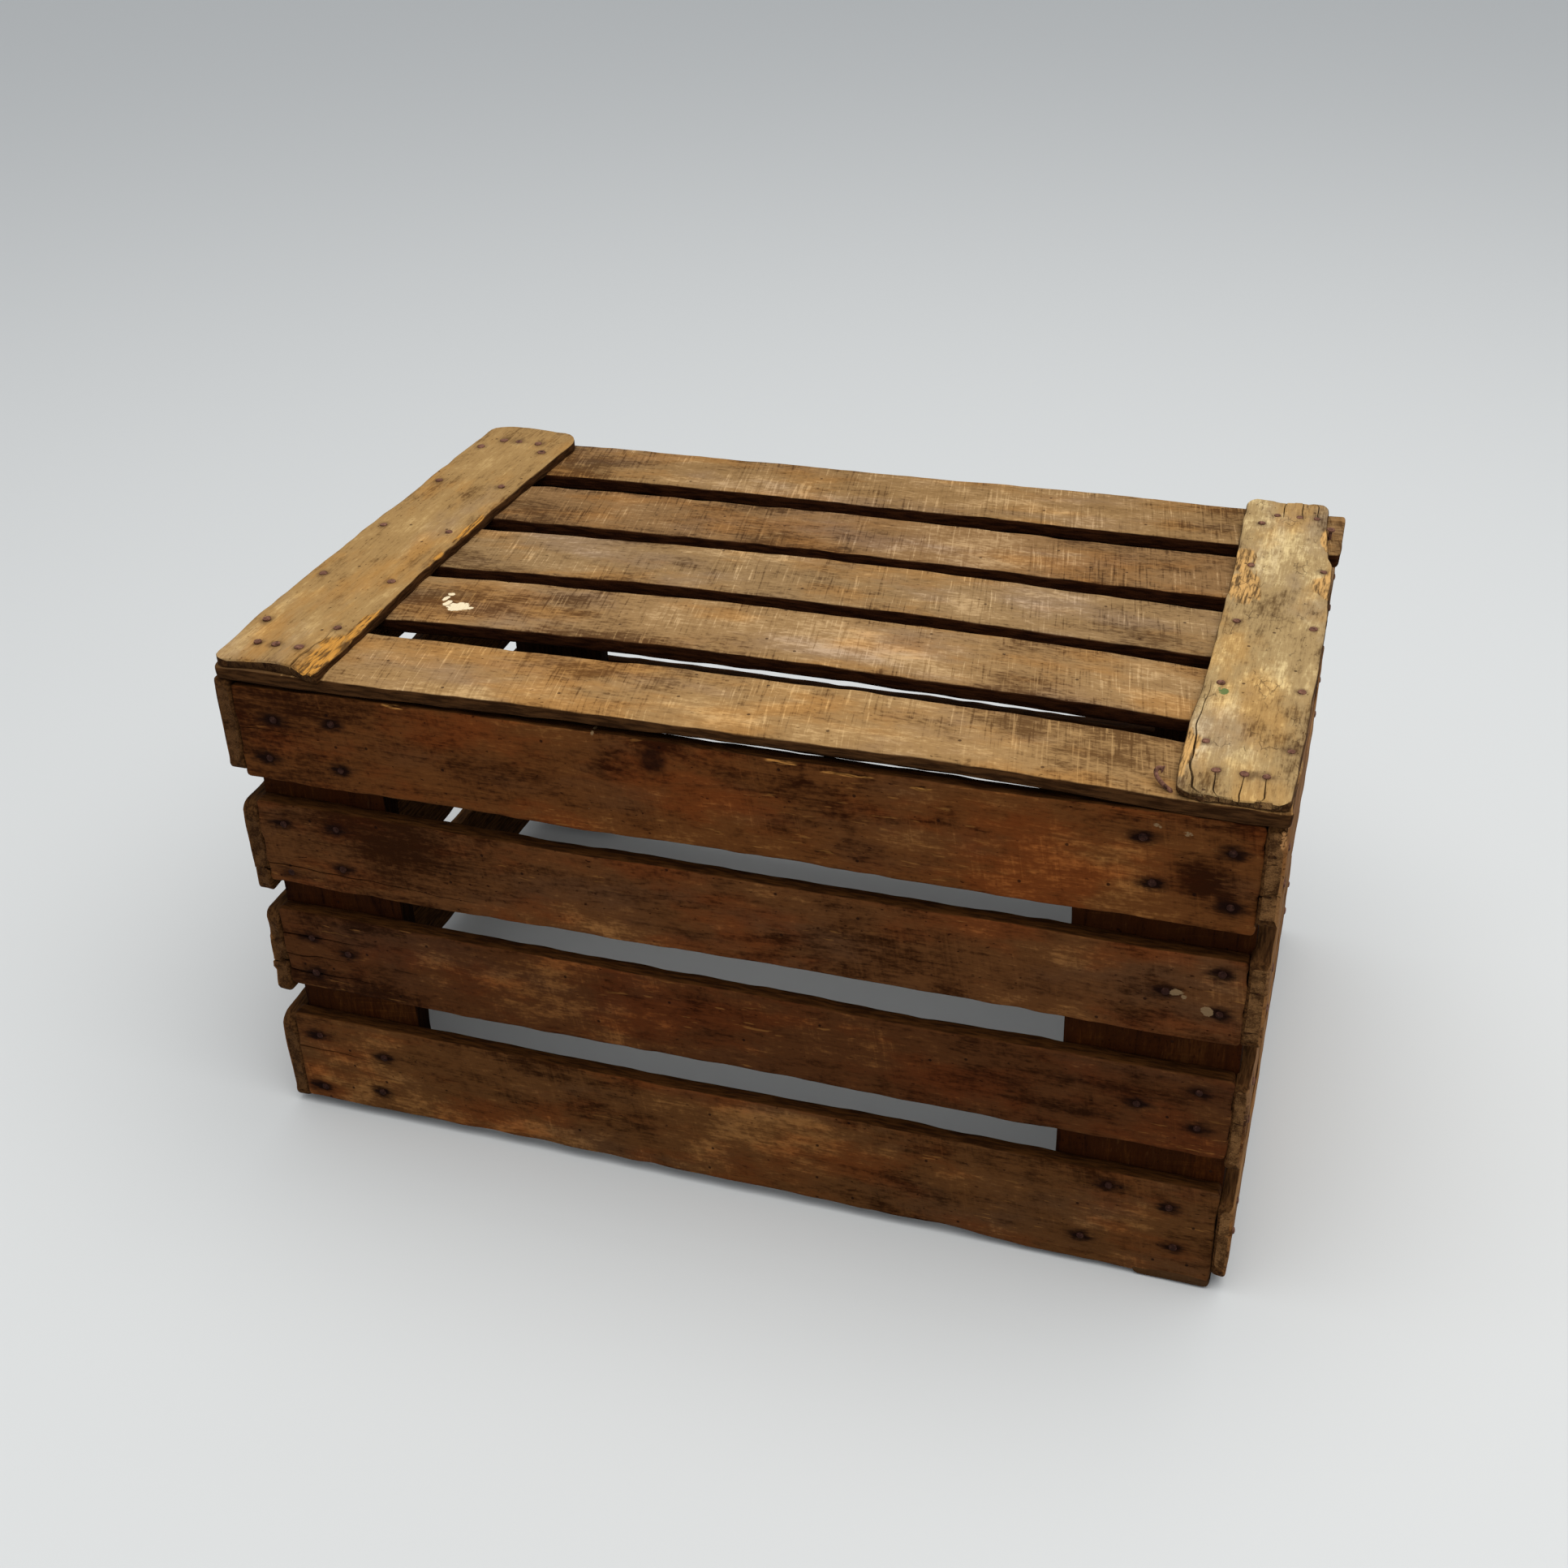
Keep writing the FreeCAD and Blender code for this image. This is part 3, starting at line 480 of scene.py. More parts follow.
def finished(name, effect, sockets, bump, distance, shader):
    """A material whose shared effect feeds the colour, the bump and, where it has one, the roughness."""
    material = bpy.data.materials.new(name)
    material.use_nodes = True
    material.node_tree.nodes.clear()
    mixer = Mixer(material.node_tree)
    made = mixer.node("ShaderNodeGroup", {}, node_tree=effect)
    for label, value in sockets.items():
        made.inputs[label].default_value = (*value, 1.0) if isinstance(value, tuple) else value
    relief = {"Height": made.outputs["Height"], "Strength": bump, "Distance": distance}
    raised = mixer.node("ShaderNodeBump", relief)
    inputs = {"Base Color": made.outputs["Color"], "Normal": raised.outputs[0], **shader}
    if "Roughness" in made.outputs:
        inputs["Roughness"] = made.outputs["Roughness"]
    skin = mixer.node("ShaderNodeBsdfPrincipled", inputs)
    mixer.node("ShaderNodeOutputMaterial", {"Surface": skin.outputs[0]})
    return material


def wood(name, pale, middle, dark, side, ends, fresh, rust, warm=(1.10, 0.96, 0.76), grey=(0.93, 0.98, 1.25),
         paint=(0.70, 0.62, 0.47), figure=0.1, streaks=0.1, saw=0.1, clouds=1.0, mottle=0.8, fibre=1.0,
         grit=0.4, grime=0.1, flecks=0.3, flakes=0.0, edge=0.1, halo=0.8):
    """The finish of a board's sawn faces and of its ends, which take a (pale, dark) pair."""
    # side is painted shade: the dark colour given to the edges and the inner face
    face = {"Pale": pale, "Middle": middle, "Dark": dark, "Side": side, "Fresh": fresh, "Rust": rust,
            "Warm": warm, "Grey": grey, "Paint": paint, "Figure": figure, "Streaks": streaks, "Saw": saw,
            "Clouds": clouds, "Mottle": mottle, "Fibre": fibre, "Grit": grit, "Grime": grime,
            "Flecks": flecks, "Flakes": flakes, "Edge": edge, "Halo": halo}
    cut = {"Pale": ends[0], "Dark": ends[1]}
    dull = {"Specular IOR Level": 0.03}
    dull_ends = {**dull, "Roughness": 0.95}
    return (
        finished(name, sawn_wood, face, bump=0.6, distance=0.0009, shader=dull),
        finished(f"{name}_ends", end_grain, cut, bump=0.7, distance=0.0012, shader=dull_ends),
    )


# Painted shade: the corner boards are coloured almost black for the shade inside the crate
board_wood = wood(
    "board_wood", pale=(0.070, 0.023, 0.0045), middle=(0.030, 0.0080, 0.0016), dark=(0.010, 0.0025, 0.0008),
    side=(0.020, 0.007, 0.002), ends=((0.06, 0.025, 0.01), (0.015, 0.006, 0.002)), fresh=(0.14, 0.06, 0.02),
    rust=(0.018, 0.007, 0.004), figure=0.2, saw=0.15, grime=0.2, flecks=0.2, halo=0.0,
)
for seed, corner in enumerate(("front_left", "front_right", "back_left", "back_right"), 11):
    out = -Y if corner.startswith("front") else Y
    node = f"{corner}_corner_board"
    plank(
        f"{corner}_board", node, (Z, out.cross(Z), out), seed, board_wood, "board_wood", wave=0.5, arris=1.2,
        low=((0, -1.2),), high=((0, 1.2),), start_cut=((0, 1.0),),
    )

# Block foot
# An offcut nailed under the front right board, flush with the wall. Its lower corners are worn round, and it
# is painted dark as painted shade under the crate's lower edge.
# Painted shade: the foot is coloured darker than the walls for the shade under the crate's edge
shaded_foot_wood = wood(
    "shaded_foot_wood", pale=(0.13, 0.07, 0.030), middle=(0.055, 0.026, 0.010), dark=(0.014, 0.006, 0.003),
    side=(0.03, 0.015, 0.006), ends=((0.07, 0.035, 0.015), (0.015, 0.007, 0.003)), fresh=(0.16, 0.08, 0.035),
    rust=(0.01, 0.005, 0.003), grime=0.3, flecks=0.2, edge=0.15, halo=0.0,
)
plank("foot_block", "front_right_foot", (X, Z, -Y), 19, shaded_foot_wood, "board_wood", wave=0.4, end_wave=0.6,
      corners=(5, 1, 4, 1), low=((0, 0.6),))


# Long walls
# Four sawn slats of softwood on each long side, nailed to the corner boards. They are red-brown with age,
# darkest at the ends, with rust bleeding along the grain from each nail and drying splits at the ends.
def nail_heads(node, out):
    """The middle of each nail's head in a CAD node of nails, on the outer side of the head."""
    points = np.array([vertex.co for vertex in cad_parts[node].data.vertices])
    flat = points[:, [i for i in range(3) if not out[i]]]
    heads = []
    head_reach = 6.5 * MM
    while len(points):
        own = np.linalg.norm(flat - flat[0], axis=1) < head_reach
        middle = Vector((points[own].min(0) + points[own].max(0)) / 2)
        top = max(Vector(p).dot(out) for p in points[own])
        heads.append(middle - out * middle.dot(out) + out * top)
        points, flat = points[~own], flat[~own]
    return heads


def on_board(heads, node):
    """The nail heads that lie over a board."""
    lowest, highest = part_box(node)
    reach = Vector((2, 2, 2)) * MM
    lowest, highest = lowest - reach, highest + reach
    return [h for h in heads if all(lowest[i] <= h[i] <= highest[i] for i in range(3))]


side_woods = {
    1: dict(pale=(0.26, 0.110, 0.030), middle=(0.104, 0.0355, 0.0088), dark=(0.022, 0.0055, 0.0010)),
    2: dict(pale=(0.24, 0.105, 0.032), middle=(0.093, 0.0350, 0.0105), dark=(0.022, 0.0062, 0.0012)),
    3: dict(pale=(0.18, 0.072, 0.020), middle=(0.065, 0.0225, 0.0066), dark=(0.017, 0.0046, 0.0009)),
    4: dict(pale=(0.23, 0.102, 0.030), middle=(0.089, 0.0350, 0.0100), dark=(0.022, 0.0068, 0.0013)),
}
front_flaws = {
    1: dict(knot=(273, 55, 9), splits=((0, 38, 60, 37, 0.3, 0.8),),
            breaks=((108, 67, 9, 2.5, 1.2), (390, 64, 16, 1.5, 0.8), (352, 66, 12, 1.2, 0.6),
                    (431, 62, 5, 2, 0.5)),
            dabs=((236, 67, 1.5, 1.2, 0.6), (560, 60, 5, 2.5, 0.45), (577, 58, 4.5, 2.2, 0.45),
                  (222, 16, 1.2, 9, 0.42), (230, 14, 1.2, 8, 0.45)),
            stains=((586, 29, 19, 14, 1.9), (600, 18, 9, 12, 1.5), (40, 40, 150, 60, 1.0),
                    (350, 46, 60, 8, 0.2)),
            start_cut=((0, -4.5),), low=((0, 0), (300, -0.3), (617, -1.2)),
            high=((0, -3.2), (70, -2.4), (140, -1.4), (260, -0.9), (330, -1.6), (400, -1.9), (460, -1.6),
                  (540, -0.9), (617, -0.5))),
    2: dict(splits=((0, 13, 150, 9, 0.8, 2.5),),
            dabs=((579, 31, 4.6, 3.0, 1.1), (584, 28.5, 2.6, 1.8, 1.0), (597, 21, 3.4, 3.0, 1.1)),
            stains=((40, 40, 140, 60, 1.0), (560, 20, 60, 12, 0.4), (250, 10, 120, 8, 0.2),
                    (120, 12, 60, 8, 0.3)),
            start_cut=((0, -2.2),), low=((0, 0), (617, -0.5)),
            high=((0, 2.5), (150, 1.5), (300, 0.5), (617, 0))),
    3: dict(splits=((0, 42, 62, 41, 1.4, 4.0), (0, 25, 48, 27, 0.9, 3.0), (0, 12, 72, 13, 1.2, 3.5)),
            stains=((560, 40, 60, 4, 0.6), (560, 20, 60, 5, 0.6), (20, 5, 50, 8, 0.5),
                    (330, 30, 90, 14, 0.3)),
            start_cut=((0, -1.8),), low=((0, 0), (617, -0.5)),
            high=((0, 2.5), (150, 1), (300, 0), (380, -1.2), (470, -1.6), (530, -0.4))),
    4: dict(splits=((0, 43, 70, 40, 1.1, 3.0),),
            stains=((14, 55, 12, 4, 1.0), (60, 46, 10, 5, 1.0), (12, 10, 14, 4, 1.0), (318, 22, 8, 16, 0.4),
                    (130, 25, 40, 14, 0.4), (560, 60, 90, 10, 0.5), (560, 15, 90, 14, 0.5)),
            start_cut=((0, -5.2),), low=((0, -1), (300, -0.5), (460, -2), (520, -5.5), (617, -7)),
            high=((0, 1), (100, 0), (617, 0))),
}
for first_seed, wall, out in ((20, "front", -Y), (30, "back", Y)):
    heads = nail_heads(f"{wall}_nails", out)
    for number, tints in side_woods.items():
        node = f"{wall}_slat_{number}"
        # side paints shade on the slats' edges and inner faces
        finish = wood(
            node, **tints, side=(0.050, 0.018, 0.004), ends=((0.13, 0.06, 0.022), (0.02, 0.008, 0.003)),
            fresh=(0.40, 0.18, 0.045), rust=(0.008, 0.0024, 0.0012), warm=(1.20, 0.90, 0.74),
            grey=(0.88, 0.98, 1.30), paint=(0.185, 0.118, 0.060), figure=0.10, streaks=0.06, saw=0.08,
            clouds=1.4, mottle=1.3, fibre=0.75, grit=0.5, grime=0.10, flecks=0.25, edge=0.06, halo=1.0,
        )
        flaws = front_flaws[number] if wall == "front" else {}
        plank(
            f"{wall}_slat_{number}_board", node, (out.cross(-Z), Z, out), first_seed + number, finish,
            "side_wood", nails=on_board(heads, node), halo=(11, 6), **flaws,
        )

# End walls
# Four shorter slats on each end, lapped over the ends of the long walls and nailed into the edges of the
# corner boards. Their ends show end grain at the corners, knocked round and split by the nails.
# The right end is painted paler than the left, as painted light on the end that faces the light
end_tints_with_painted_light = {
    "left_end": dict(pale=(0.29, 0.140, 0.045), middle=(0.120, 0.050, 0.015), dark=(0.024, 0.009, 0.003),
                     ends=((0.11, 0.050, 0.018), (0.030, 0.012, 0.004))),
    # Painted light: the right end's tints are the left end's lightened
    "right_end": dict(pale=(0.38, 0.210, 0.085), middle=(0.190, 0.092, 0.034), dark=(0.040, 0.016, 0.006),
                      ends=((0.20, 0.098, 0.036), (0.05, 0.021, 0.007))),
}
end_shapes = {
    "left_end_slat_1": dict(corners=(4, 4, 6, 3), end_wave=2.0, set_out=4.5,
                            low=((0, -3), (190, -4), (330, -2), (399, 0))),
    "left_end_slat_2": dict(corners=(4, 4, 4, 9), end_wave=2.0, set_out=2.2,
                            splits=((360, 14, 399, 14, 0.8, 5.0),), low=((330, 0), (399, -4)),
                            high=((0, 3), (150, 4.5), (330, 2), (399, 0))),
    "left_end_slat_3": dict(corners=(4, 4, 4, 7), end_wave=3.0, set_out=1.8,
                            splits=((330, 24, 399, 25, 1.0, 5.5), (320, 48, 399, 47, 1.0, 5.5))),
    "left_end_slat_4": dict(corners=(4, 4, 5, 10), end_wave=1.5, set_out=5.2,
                            low=((280, 0), (370, -4), (399, -5))),
    "right_end_slat_1": dict(corners=(4, 3, 4, 4), end_wave=2.0, breaks=((3, 58, 8, 9, 3.0),),
                             worn_down=((399, 35, 120, 90, -2.5),),
                             splits=((0, 20, 60, 22, 0.8, 5.0), (0, 46, 45, 45, 0.8, 5.0))),
    "right_end_slat_2": dict(end_wave=1.5, worn_down=((399, 35, 120, 90, -3.5),),
                             splits=((0, 40, 70, 38, 0.7, 5.0), (0, 8, 40, 8, 0.6, 5.0))),
    "right_end_slat_3": dict(thickness=9.5, end_wave=1.5, low=((0, -4), (80, 0)),
                             splits=((0, 30, 50, 31, 0.6, 5.0),)),
    "right_end_slat_4": dict(thickness=9.5, corners=(9, 4, 4, 4), end_wave=1.5, low=((0, -3), (120, 0)),
                             splits=((0, 34, 60, 33, 0.7, 5.0),)),
}
for first_seed, wall, out in ((50, "left_end", -X), (60, "right_end", X)):
    heads = nail_heads(f"{wall}_nails", out)
    # side paints shade on the slats' edges and inner faces
    end_wood = wood(
        f"{wall}_wood", **end_tints_with_painted_light[wall], side=(0.075, 0.032, 0.010), fresh=(0.40, 0.20, 0.075),
        rust=(0.014, 0.005, 0.0025), figure=0.12, saw=0.15, clouds=1.3, mottle=1.1, grime=0.15, flecks=0.4,
    )
    for number in range(1, 5):
        node = f"{wall}_slat_{number}"
        plank(
            f"{node}_board", node, (Z.cross(out), Z, out), first_seed + number, end_wood, "end_wood",
            nails=on_board(heads, node), arris=1.8, **end_shapes[node],
        )

# Slatted floor
# Five slats across the bottom of the crate, which is uppermost here. They are bare weathered tan wood with
# the marks of the frame saw across the grain, darker towards the edges, with painted shade on their edge
# faces and undersides, and each has bowed up between the battens.
floor_thickness = 9.6
front_slat_bow = 2.2
floor_woods = {
    1: dict(pale=(0.43, 0.275, 0.130), middle=(0.235, 0.136, 0.054), dark=(0.085, 0.042, 0.015)),
    2: dict(pale=(0.40, 0.255, 0.125), middle=(0.210, 0.116, 0.047), dark=(0.072, 0.035, 0.013)),
    3: dict(pale=(0.45, 0.298, 0.150), middle=(0.242, 0.147, 0.064), dark=(0.085, 0.044, 0.017)),
    4: dict(pale=(0.46, 0.300, 0.148), middle=(0.262, 0.154, 0.064), dark=(0.088, 0.042, 0.015)),
    5: dict(pale=(0.48, 0.308, 0.140), middle=(0.285, 0.166, 0.066), dark=(0.105, 0.052, 0.018)),
}
floor_wear = {
    1: dict(stains=((80, 30, 60, 20, 0.5), (420, 10, 80, 8, 0.4)), finish_cut=((0, 2.0),),
            high=((0, 0), (380, 0), (480, 2.5), (560, 3), (610, 4), (640, 5))),
    2: dict(stains=((90, 30, 50, 30, 0.6), (230, 20, 90, 20, 0.4), (500, 50, 60, 12, 0.5))),
    3: dict(stains=((90, 10, 50, 20, 0.6), (330, 45, 60, 14, 0.5), (520, 15, 50, 15, 0.5))),
    4: dict(stains=((90, 40, 40, 40, 0.9), (475, 40, 40, 20, 0.6), (300, 8, 90, 8, 0.5)),
            dabs=((110.5, 23.5, 7.0, 5.2, 1.4), (118, 23, 4, 1.8, 1.0), (100.5, 27.5, 2.4, 3.4, 1.2),
                  (96.5, 33.5, 1.7, 4, 1.2), (97, 40, 2.8, 1.7, 1.2))),
    5: dict(stains=((25, 0, 60, 7, 2.0), (110, 52, 60, 12, 0.5), (60, 20, 60, 20, 0.4),
                    (560, 30, 40, 30, 0.4)),
            worn_down=((360, 0, 170, 5, 3.2), (150, 0, 90, 4, 1.6), (20, 0, 60, 4, 1.6)), bow_peak=0.62,
            start_cut=((0, -1.5),)),
}
batten_heads = {side: nail_heads(f"{side}_batten_nails", Z) for side in ("left", "right")}
batten_boxes = [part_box(f"{side}_batten") for side in ("left", "right")]
batten_widths = tuple((highest - lowest).x / MM for lowest, highest in batten_boxes)
for number, tints in floor_woods.items():
    node = f"floor_slat_{number}"
    lowest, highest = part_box(node)
    in_front = number == 5
    crown = (highest - lowest).z / MM - floor_thickness + front_slat_bow * in_front
    # side paints shade on the edges and undersides; the front slat's is lighter, as its front edge stands in
    # the open
    finish = wood(
        node, **tints, side=(0.060, 0.025, 0.008) if in_front else (0.034, 0.0105, 0.0032),
        ends=((0.16, 0.08, 0.03), (0.02, 0.008, 0.003)), fresh=(0.54, 0.35, 0.16), rust=(0.04, 0.017, 0.008),
        paint=(0.78, 0.66, 0.44), figure=0.04, streaks=0.03, saw=0.32, clouds=1.5, mottle=1.2, grit=0.65,
        grime=0.10, flecks=0.25, edge=0.10, halo=0.5,
    )
    shape = {"start_cut": ((0, 2.5),), **floor_wear[number]}
    plank(
        f"{node}_board", node, (X, Y, Z), 70 + number, finish, "floor_wood", thickness=floor_thickness,
        arris=1.3, wave=0.9, bow=crown, bow_span=batten_widths, end_wave=1.2, **shape,
    )

# Left batten
# A thin board across the left ends of the floor slats, worn smooth and tan, nailed through into the end wall.
# Its inner edge is ragged, and a long orange splinter has broken away beside its front corner.
left_batten_wood = wood(
    "left_batten_wood", pale=(0.48, 0.320, 0.135), middle=(0.300, 0.180, 0.068), dark=(0.105, 0.052, 0.017),
    side=(0.060, 0.025, 0.008), ends=((0.07, 0.033, 0.012), (0.018, 0.007, 0.003)),
    fresh=(0.50, 0.235, 0.045), rust=(0.045, 0.020, 0.011), figure=0.05, streaks=0.05, saw=0.05, clouds=1.3,
    mottle=1.0, grime=0.12, flecks=0.2, halo=0.6,
)
plank(
    "left_batten_board", "left_batten", (Y, -X, Z), 81, left_batten_wood, "dark_batten_wood", thickness=8.5,
    set_out=-1.5, arris=1.5, wave=1.0, end_wave=1.0, corners=(2, 10, 20, 8), nails=batten_heads["left"],
    halo=(7, 5), start_cut=((0, -4.5), (10, -3.5), (17, 0.5), (28, 1.5), (50, 0.5), (70, -1)),
    finish_cut=((0, 6), (28, 7), (45, 10), (58, 9), (70, 6)), worn_down=((0, 66, 50, 30, 1.6),),
    low=((0, -2), (60, 0), (125, 0.5), (160, 1.5), (200, 1), (240, 2.5), (300, 1.5), (350, 0), (399, -2)),
    high=((0, 3.5), (80, 3), (200, 4.5), (240, 3.5), (300, 5), (399, 3.5)),
    breaks=((14, 6, 40, 12, 2.8), (60, 2, 26, 5, 1.6), (165, 2, 14, 3, 0.8), (215, 4, 30, 3, 1.0)),
    splits=((0, 19, 52, 14, 0.8, 2.5),),
    stains=((355, 46, 14, 8, 0.7), (390, 35, 12, 30, 0.4), (10, 45, 20, 20, 0.4)),
)

# Right batten
# The paler board across the right ends, dry and yellow. Its outer edge has split away in steps towards the
# back, a long split follows its inner edge, and cracks run from the nails to both ends.
right_batten_wood = wood(
    "right_batten_wood", pale=(0.60, 0.455, 0.225), middle=(0.315, 0.212, 0.095), dark=(0.100, 0.056, 0.022),
    side=(0.075, 0.034, 0.012), ends=((0.20, 0.11, 0.042), (0.03, 0.013, 0.005)), fresh=(0.52, 0.30, 0.105),
    rust=(0.045, 0.020, 0.011), paint=(0.09, 0.14, 0.045), figure=0.06, streaks=0.06, saw=0.05, clouds=1.8,
    mottle=1.3, grime=0.08, flakes=0.55, halo=0.7,
)
plank(
    "right_batten_board", "right_batten", (Y, -X, Z), 92, right_batten_wood, "pale_batten_wood", arris=1.4,
    wave=0.8, end_wave=2.0, corners=(3, 6, 6, 9), nails=batten_heads["right"], halo=(6, 4),
    low=((0, 1), (120, -0.5), (190, -1.5), (225, -1), (240, 0.5), (300, 1), (312, 4), (345, 6), (360, 8),
         (399, 10)),
    high=((0, -3.5), (30, -1.5), (80, -1.5), (110, -3.2), (290, -3.1), (330, -1.5), (370, -0.4), (399, 0)),
    finish_cut=((0, 4),),
    splits=((0, 53, 125, 60, 1.0, 3.2), (0, 43, 25, 42, 0.6, 2.5), (0, 29, 24, 27.5, 0.6, 2.5),
            (0, 16, 25, 16, 0.6, 2.5), (374, 42, 399, 42, 0.5, 2.5), (374, 27.5, 399, 29, 0.5, 2.5),
            (374, 16, 399, 17, 0.5, 2.5)),
    breaks=((255, 52, 30, 13, 0.5), (300, 56, 22, 8, 0.6), (40, 60, 28, 5, 1.2), (345, 8, 22, 4, 1.2),
            (270, 4, 26, 4, 0.8)),
    stains=((385, 30, 20, 30, 0.4), (170, 10, 20, 6, 0.6), (12, 30, 16, 30, 0.4)),
    worn_down=((0, 32, 12, 50, 1.8),), dabs=((113, 48, 4.5, 2.6, 0.9),),
)


# Nails
# Hand-driven wire nails, rusted brown. Their flat heads are hammered out of round, stand a little proud of
# the walls and lie nearly flush with the battens.
def ring_of(rng, radius, level, sides, wobble):
    """One ring of points round a nail, a little out of round."""
    turn = np.linspace(0, 2 * math.pi, sides, endpoint=False)
    own = radius * (1 + rng.uniform(-wobble, wobble, sides))
    return np.column_stack([own * np.cos(turn), own * np.sin(turn), np.full(sides, level)])


def tube_faces(first, rings, sides):
    """The faces of a closed tube of rings, and of its two ends, from the point with the number first."""
    faces = []
    for row in range(rings - 1):
        for k in range(sides):
            a, b = first + row * sides + k, first + row * sides + (k + 1) % sides
            faces.append((a, b, b + sides, a + sides))
    faces.append([first + k for k in reversed(range(sides))])
    faces.append([first + (rings - 1) * sides + k for k in range(sides)])
    return faces


def iron_piece(name, node, points, faces, skin):
    """A piece of rusted iron that takes the place of a CAD node of nails."""
    mesh = bpy.data.meshes.new(name)
    mesh.from_pydata(points, [], faces)
    mesh.shade_smooth()
    mesh.set_sharp_from_angle(angle=math.radians(50))
    mesh.materials.append(skin)
    piece = bpy.data.objects.new(name, mesh)
    bpy.context.scene.collection.objects.link(piece)
    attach(piece, "root")
    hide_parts(node)


# Rusted iron as the nails show it: brown scale with a lighter bloom in places, dark and pitted in others
rusted_iron, mixer, given, result = shared_effect(
    "rusted_iron",
    {"Pale": "Color", "Middle": "Color", "Dark": "Color"},
    {"Color": "Color", "Height": "Float", "Roughness": "Float"},
)
at = mixer.node("ShaderNodeNewGeometry", {}).outputs["Position"]
scale = mixer.noise(at, (420, 420, 420), 4.0, 0.65)
pit = mixer.noise(at, (1500, 1500, 1500), 2.0, 0.5)
colour = mixer.mix(mixer.step(scale, 0.3, 0.5), given["Dark"], given["Middle"])
colour = mixer.mix(mixer.step(scale, 0.5, 0.72), colour, given["Pale"])
mixer.tree.links.new(colour, result["Color"])
mixer.tree.links.new(mixer.maths("MULTIPLY_ADD", pit, 0.4, scale), result["Height"])
mixer.tree.links.new(mixer.maths("MULTIPLY_ADD", scale, 0.3, 0.6), result["Roughness"])

nail_gloss = {"Specular IOR Level": 0.05}
rust_tints = {"Pale": (0.24, 0.118, 0.078), "Middle": (0.135, 0.062, 0.040), "Dark": (0.030, 0.013, 0.008)}
rust_skin = finished("rusty_nail", rusted_iron, rust_tints, bump=0.7, distance=0.0006, shader=nail_gloss)
# Painted shade: a much darker copy of the rust for the nails of the front and the left end, which lie in
# shade
shaded_rust_tints = {"Pale": (0.060, 0.026, 0.018), "Middle": (0.024, 0.009, 0.006), "Dark": (0.008, 0.003, 0.002)}
shaded_nail_skin = finished("shaded_nail", rusted_iron, shaded_rust_tints, bump=0.7, distance=0.0006, shader=nail_gloss)

head_radius, head_thickness, shank_radius, point_radius, point_length = 2.8, 1.2, 1.2, 0.15, 4.0
short_nail, long_nail = 14.5, 30.0
large_head, small_head = 1.08, 0.92
nail_sides = 14
nail_rows = {
    "front_nails": (-Y, short_nail, -0.7),
    "back_nails": (Y, short_nail, -0.7),
    "left_end_nails": (-X, long_nail, -0.2),
    "right_end_nails": (X, long_nail, -0.2),
    "left_batten_nails": (Z, short_nail, 0.8),
    "right_batten_nails": (Z, short_nail, 0.8),
    "foot_nails": (-Z, short_nail, 0.0),
}
# The heads follow the end slats: out with those that stand out, and in where a slat is thin
sunk, sunk_in_thin_slat = -0.3, -2.1
nail_steps = {
    board: shape.get("set_out", sunk_in_thin_slat if "thickness" in shape else sunk)
    for board, shape in end_shapes.items()
}
for seed, (node, (out, reach, proud)) in enumerate(nail_rows.items(), 200):
    rng = np.random.default_rng(seed)
    points, faces = [], []
    for head in nail_heads(node, out):
        step = sum(move for board, move in nail_steps.items() if "end" in node and on_board([head], board))
        size = rng.uniform(0.85, 1.08) * (large_head if node == "left_batten_nails" else small_head)
        dome = rng.uniform(0.15, 0.4)
        tilt = Vector(rng.uniform(-0.09, 0.09, 3))
        up = (out + tilt).normalized()
        side = up.orthogonal().normalized()
        wide = head_radius * size
        levels = [
            (point_radius, -reach), (shank_radius, point_length - reach), (shank_radius, 0), (0.9 * wide, 0),
            (wide, 0.45 * head_thickness), (0.93 * wide, head_thickness - 0.1),
            (0.6 * wide, head_thickness + 0.6 * dome), (0.2 * wide, head_thickness + dome),
        ]
        rings = [
            ring_of(rng, radius, level, nail_sides, 0.05 * (radius > shank_radius))
            for radius, level in levels
        ]
        seat = head / MM - out * (head_thickness - proud - step)
        faces += tube_faces(len(points), len(levels), nail_sides)
        for x, y, z in np.concatenate(rings):
            points.append((seat + side * x + up.cross(side) * y + up * z) * MM)
    # The front and left-end nails take the darker copy, as painted shade
    skin = shaded_nail_skin if node in ("front_nails", "left_end_nails") else rust_skin
    iron_piece(f"{node}_driven", node, points, faces, skin)

# Bent nail
# A nail that was driven only half way into the front floor slat and then hammered over, so it stands up as a
# hook. It is iron wire, rusted like the others.
hook_foot = Vector((257.0, -193.0, 345.5))
hook_turns = (
    (0, 0, -6), (0, 0, 0.8), (-3, 0.5, 2.2), (-6, 2.5, 3.6), (-9, 5.5, 5.2), (-10, 8.5, 7), (-8.5, 10.5, 8),
    (-6, 10.5, 7),
)
hook_face = Vector((0.27, -0.81, 0.52))
hook_radius, hook_head_radius, hook_rings, hook_sides = 1.25, 2.2, 40, 12
steps = np.linspace(0, len(hook_turns) - 1, hook_rings)
way = np.column_stack([np.interp(steps, range(len(hook_turns)), own) for own in zip(*hook_turns)])
for _ in range(5):
    way[1:-1] = (way[:-2] + 2 * way[1:-1] + way[2:]) / 4
rng = np.random.default_rng(300)
ways = [Vector(p) for p in way]
points = []
last = hook_rings - 1
for row, place in enumerate(ways):
    ahead = (ways[min(row + 1, last)] - ways[max(row - 1, 0)]).normalized()
    side = ahead.cross(hook_face).normalized()
    radius = hook_head_radius if row >= last - 1 else hook_radius
    for x, y, _ in ring_of(rng, radius, 0, hook_sides, 0.04):
        points.append((hook_foot + place + side * x + ahead.cross(side) * y) * MM)
iron_piece("bent_nail_hook", "bent_nail", points, tube_faces(0, hook_rings, hook_sides), rust_skin)

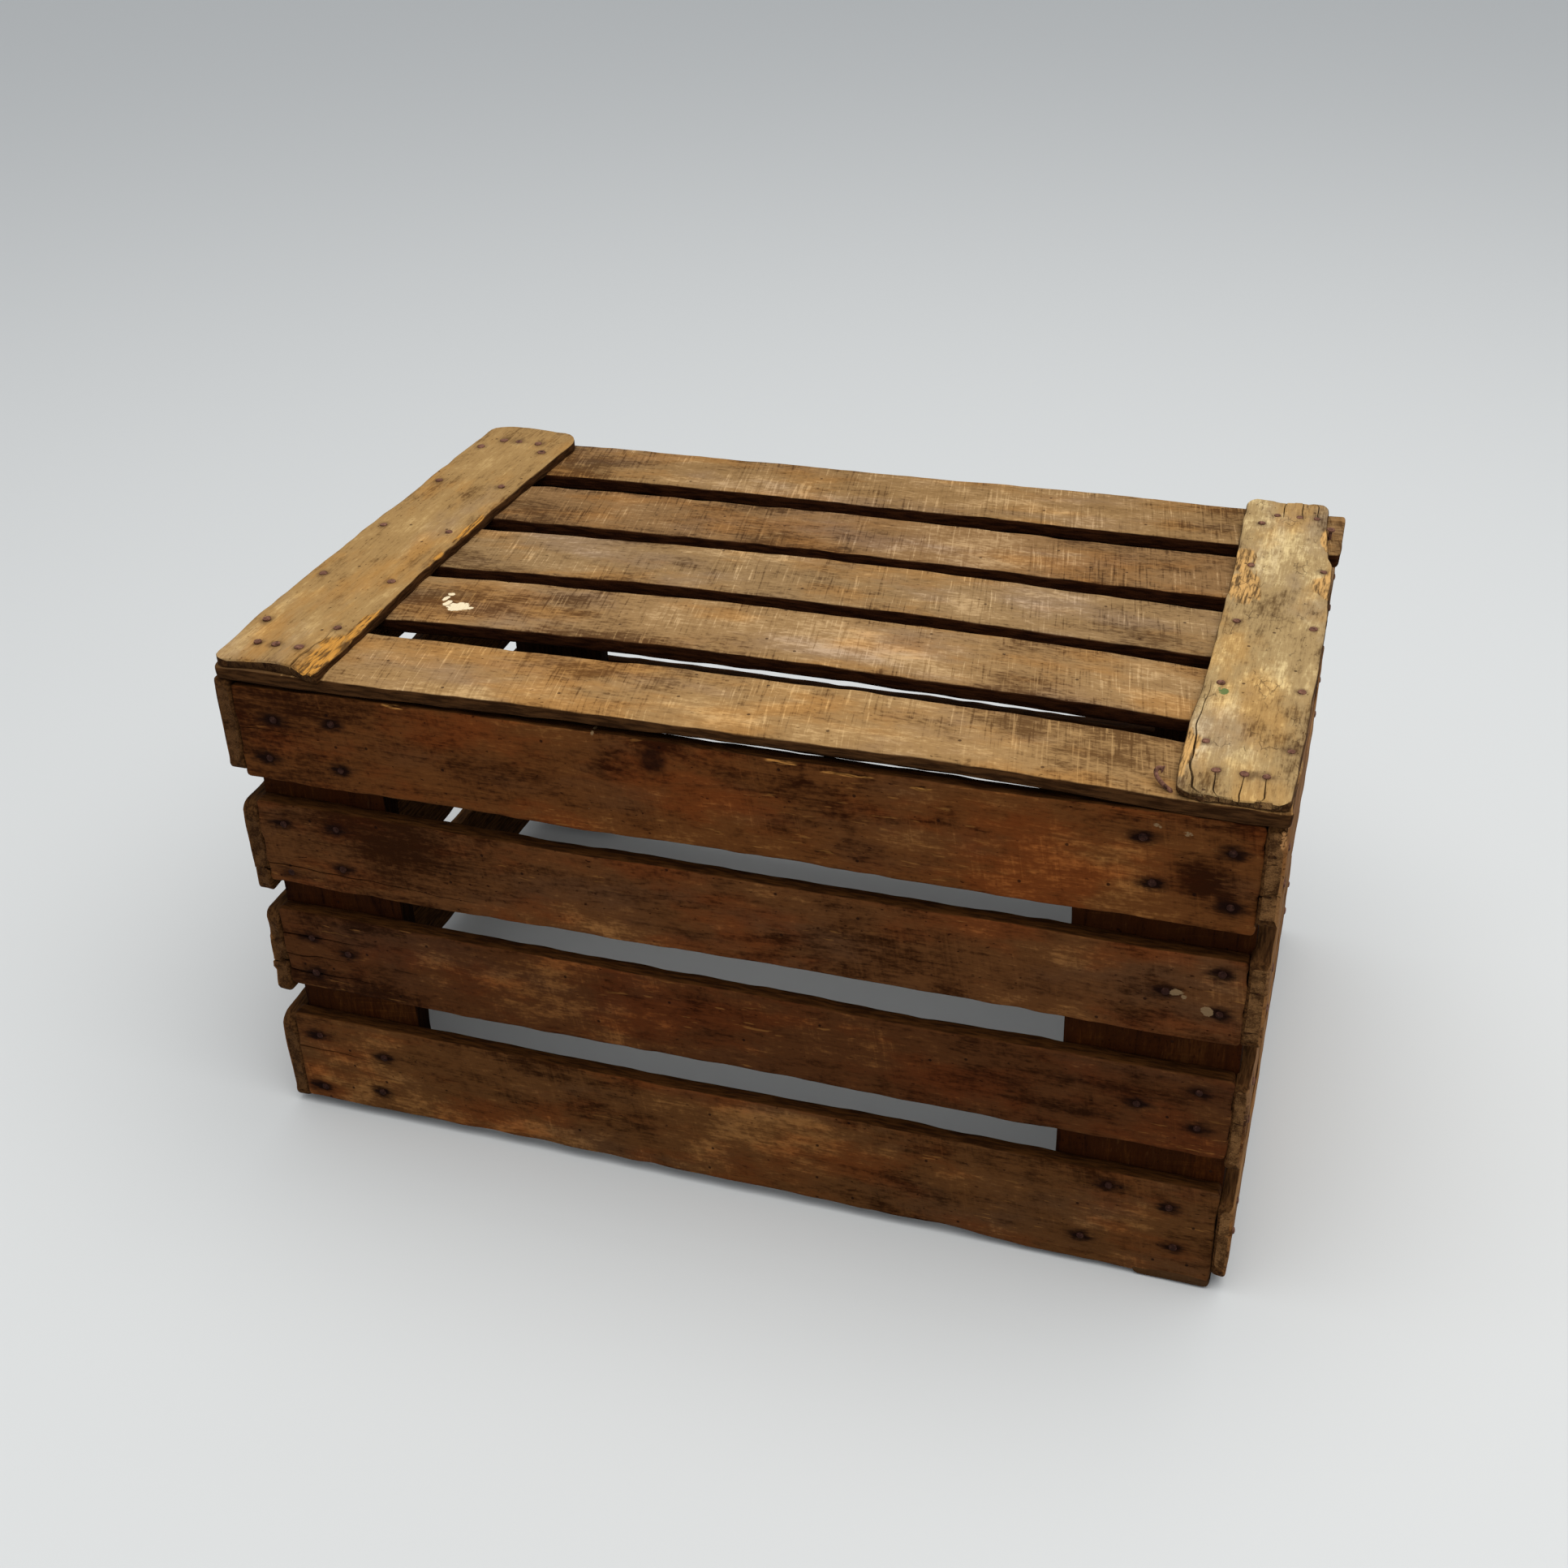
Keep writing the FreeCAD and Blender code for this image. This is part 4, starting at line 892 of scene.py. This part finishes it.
# Floor and light
# A plain pale floor under soft daylight: an even sky, and one broad lamp above, a little to the front and to
# the right.
floor_mesh = bpy.data.meshes.new("studio_floor")
half = 30.0
floor_corners = [(-half, -half, 0), (half, -half, 0), (half, half, 0), (-half, half, 0)]
floor_mesh.from_pydata(floor_corners, [], [(0, 1, 2, 3)])
floor = bpy.data.objects.new("studio_floor", floor_mesh)
bpy.context.scene.collection.objects.link(floor)
floor_paint = bpy.data.materials.new("floor_paint")
floor_paint.use_nodes = True
paint = floor_paint.node_tree.nodes["Principled BSDF"].inputs
paint["Base Color"].default_value = (0.60, 0.615, 0.62, 1.0)
paint["Roughness"].default_value = 0.9
paint["Specular IOR Level"].default_value = 0.1
floor_mesh.materials.append(floor_paint)

sky = bpy.data.worlds.new("soft_sky")
sky.use_nodes = True
sky.node_tree.nodes["Background"].inputs["Color"].default_value = (0.95, 0.975, 1.0, 1.0)
sky.node_tree.nodes["Background"].inputs["Strength"].default_value = 0.66
bpy.context.scene.world = sky

lamp = bpy.data.lights.new("broad_lamp", "AREA")
lamp.shape = "RECTANGLE"
lamp.size, lamp.size_y = 3.0, 3.0
lamp.energy = 72.0
lamp.color = (1.0, 0.975, 0.94)
lamp_object = bpy.data.objects.new("broad_lamp", lamp)
lamp_place = Vector((0.5, -0.35, 2.7))
lamp_object.location = lamp_place
lamp_object.rotation_euler = (Vector((0, 0, 0.2)) - lamp_place).to_track_quat("-Z", "Y").to_euler()
bpy.context.scene.collection.objects.link(lamp_object)

# Camera
# A standing person's view from the front right, looking down on the upturned crate.
camera = bpy.data.cameras.new("camera")
camera.sensor_width = 36.0
camera.lens = 42.976
camera.clip_start = 0.01
camera.clip_end = 100.0
camera_object = bpy.data.objects.new("camera", camera)
turned = camera_object.matrix_world.to_3x3()
turned.col[0] = (0.9516, 0.3057, -0.0235)
turned.col[1] = (-0.1388, 0.4983, 0.8566)
turned.col[2] = (0.2740, -0.8114, 0.5155)
camera_object.matrix_world = turned.to_4x4()
camera_object.location = Vector((332.4, -1055.4, 864.0)) * MM
bpy.context.scene.collection.objects.link(camera_object)
bpy.context.scene.camera = camera_object
bpy.context.scene.view_settings.view_transform = "Standard"
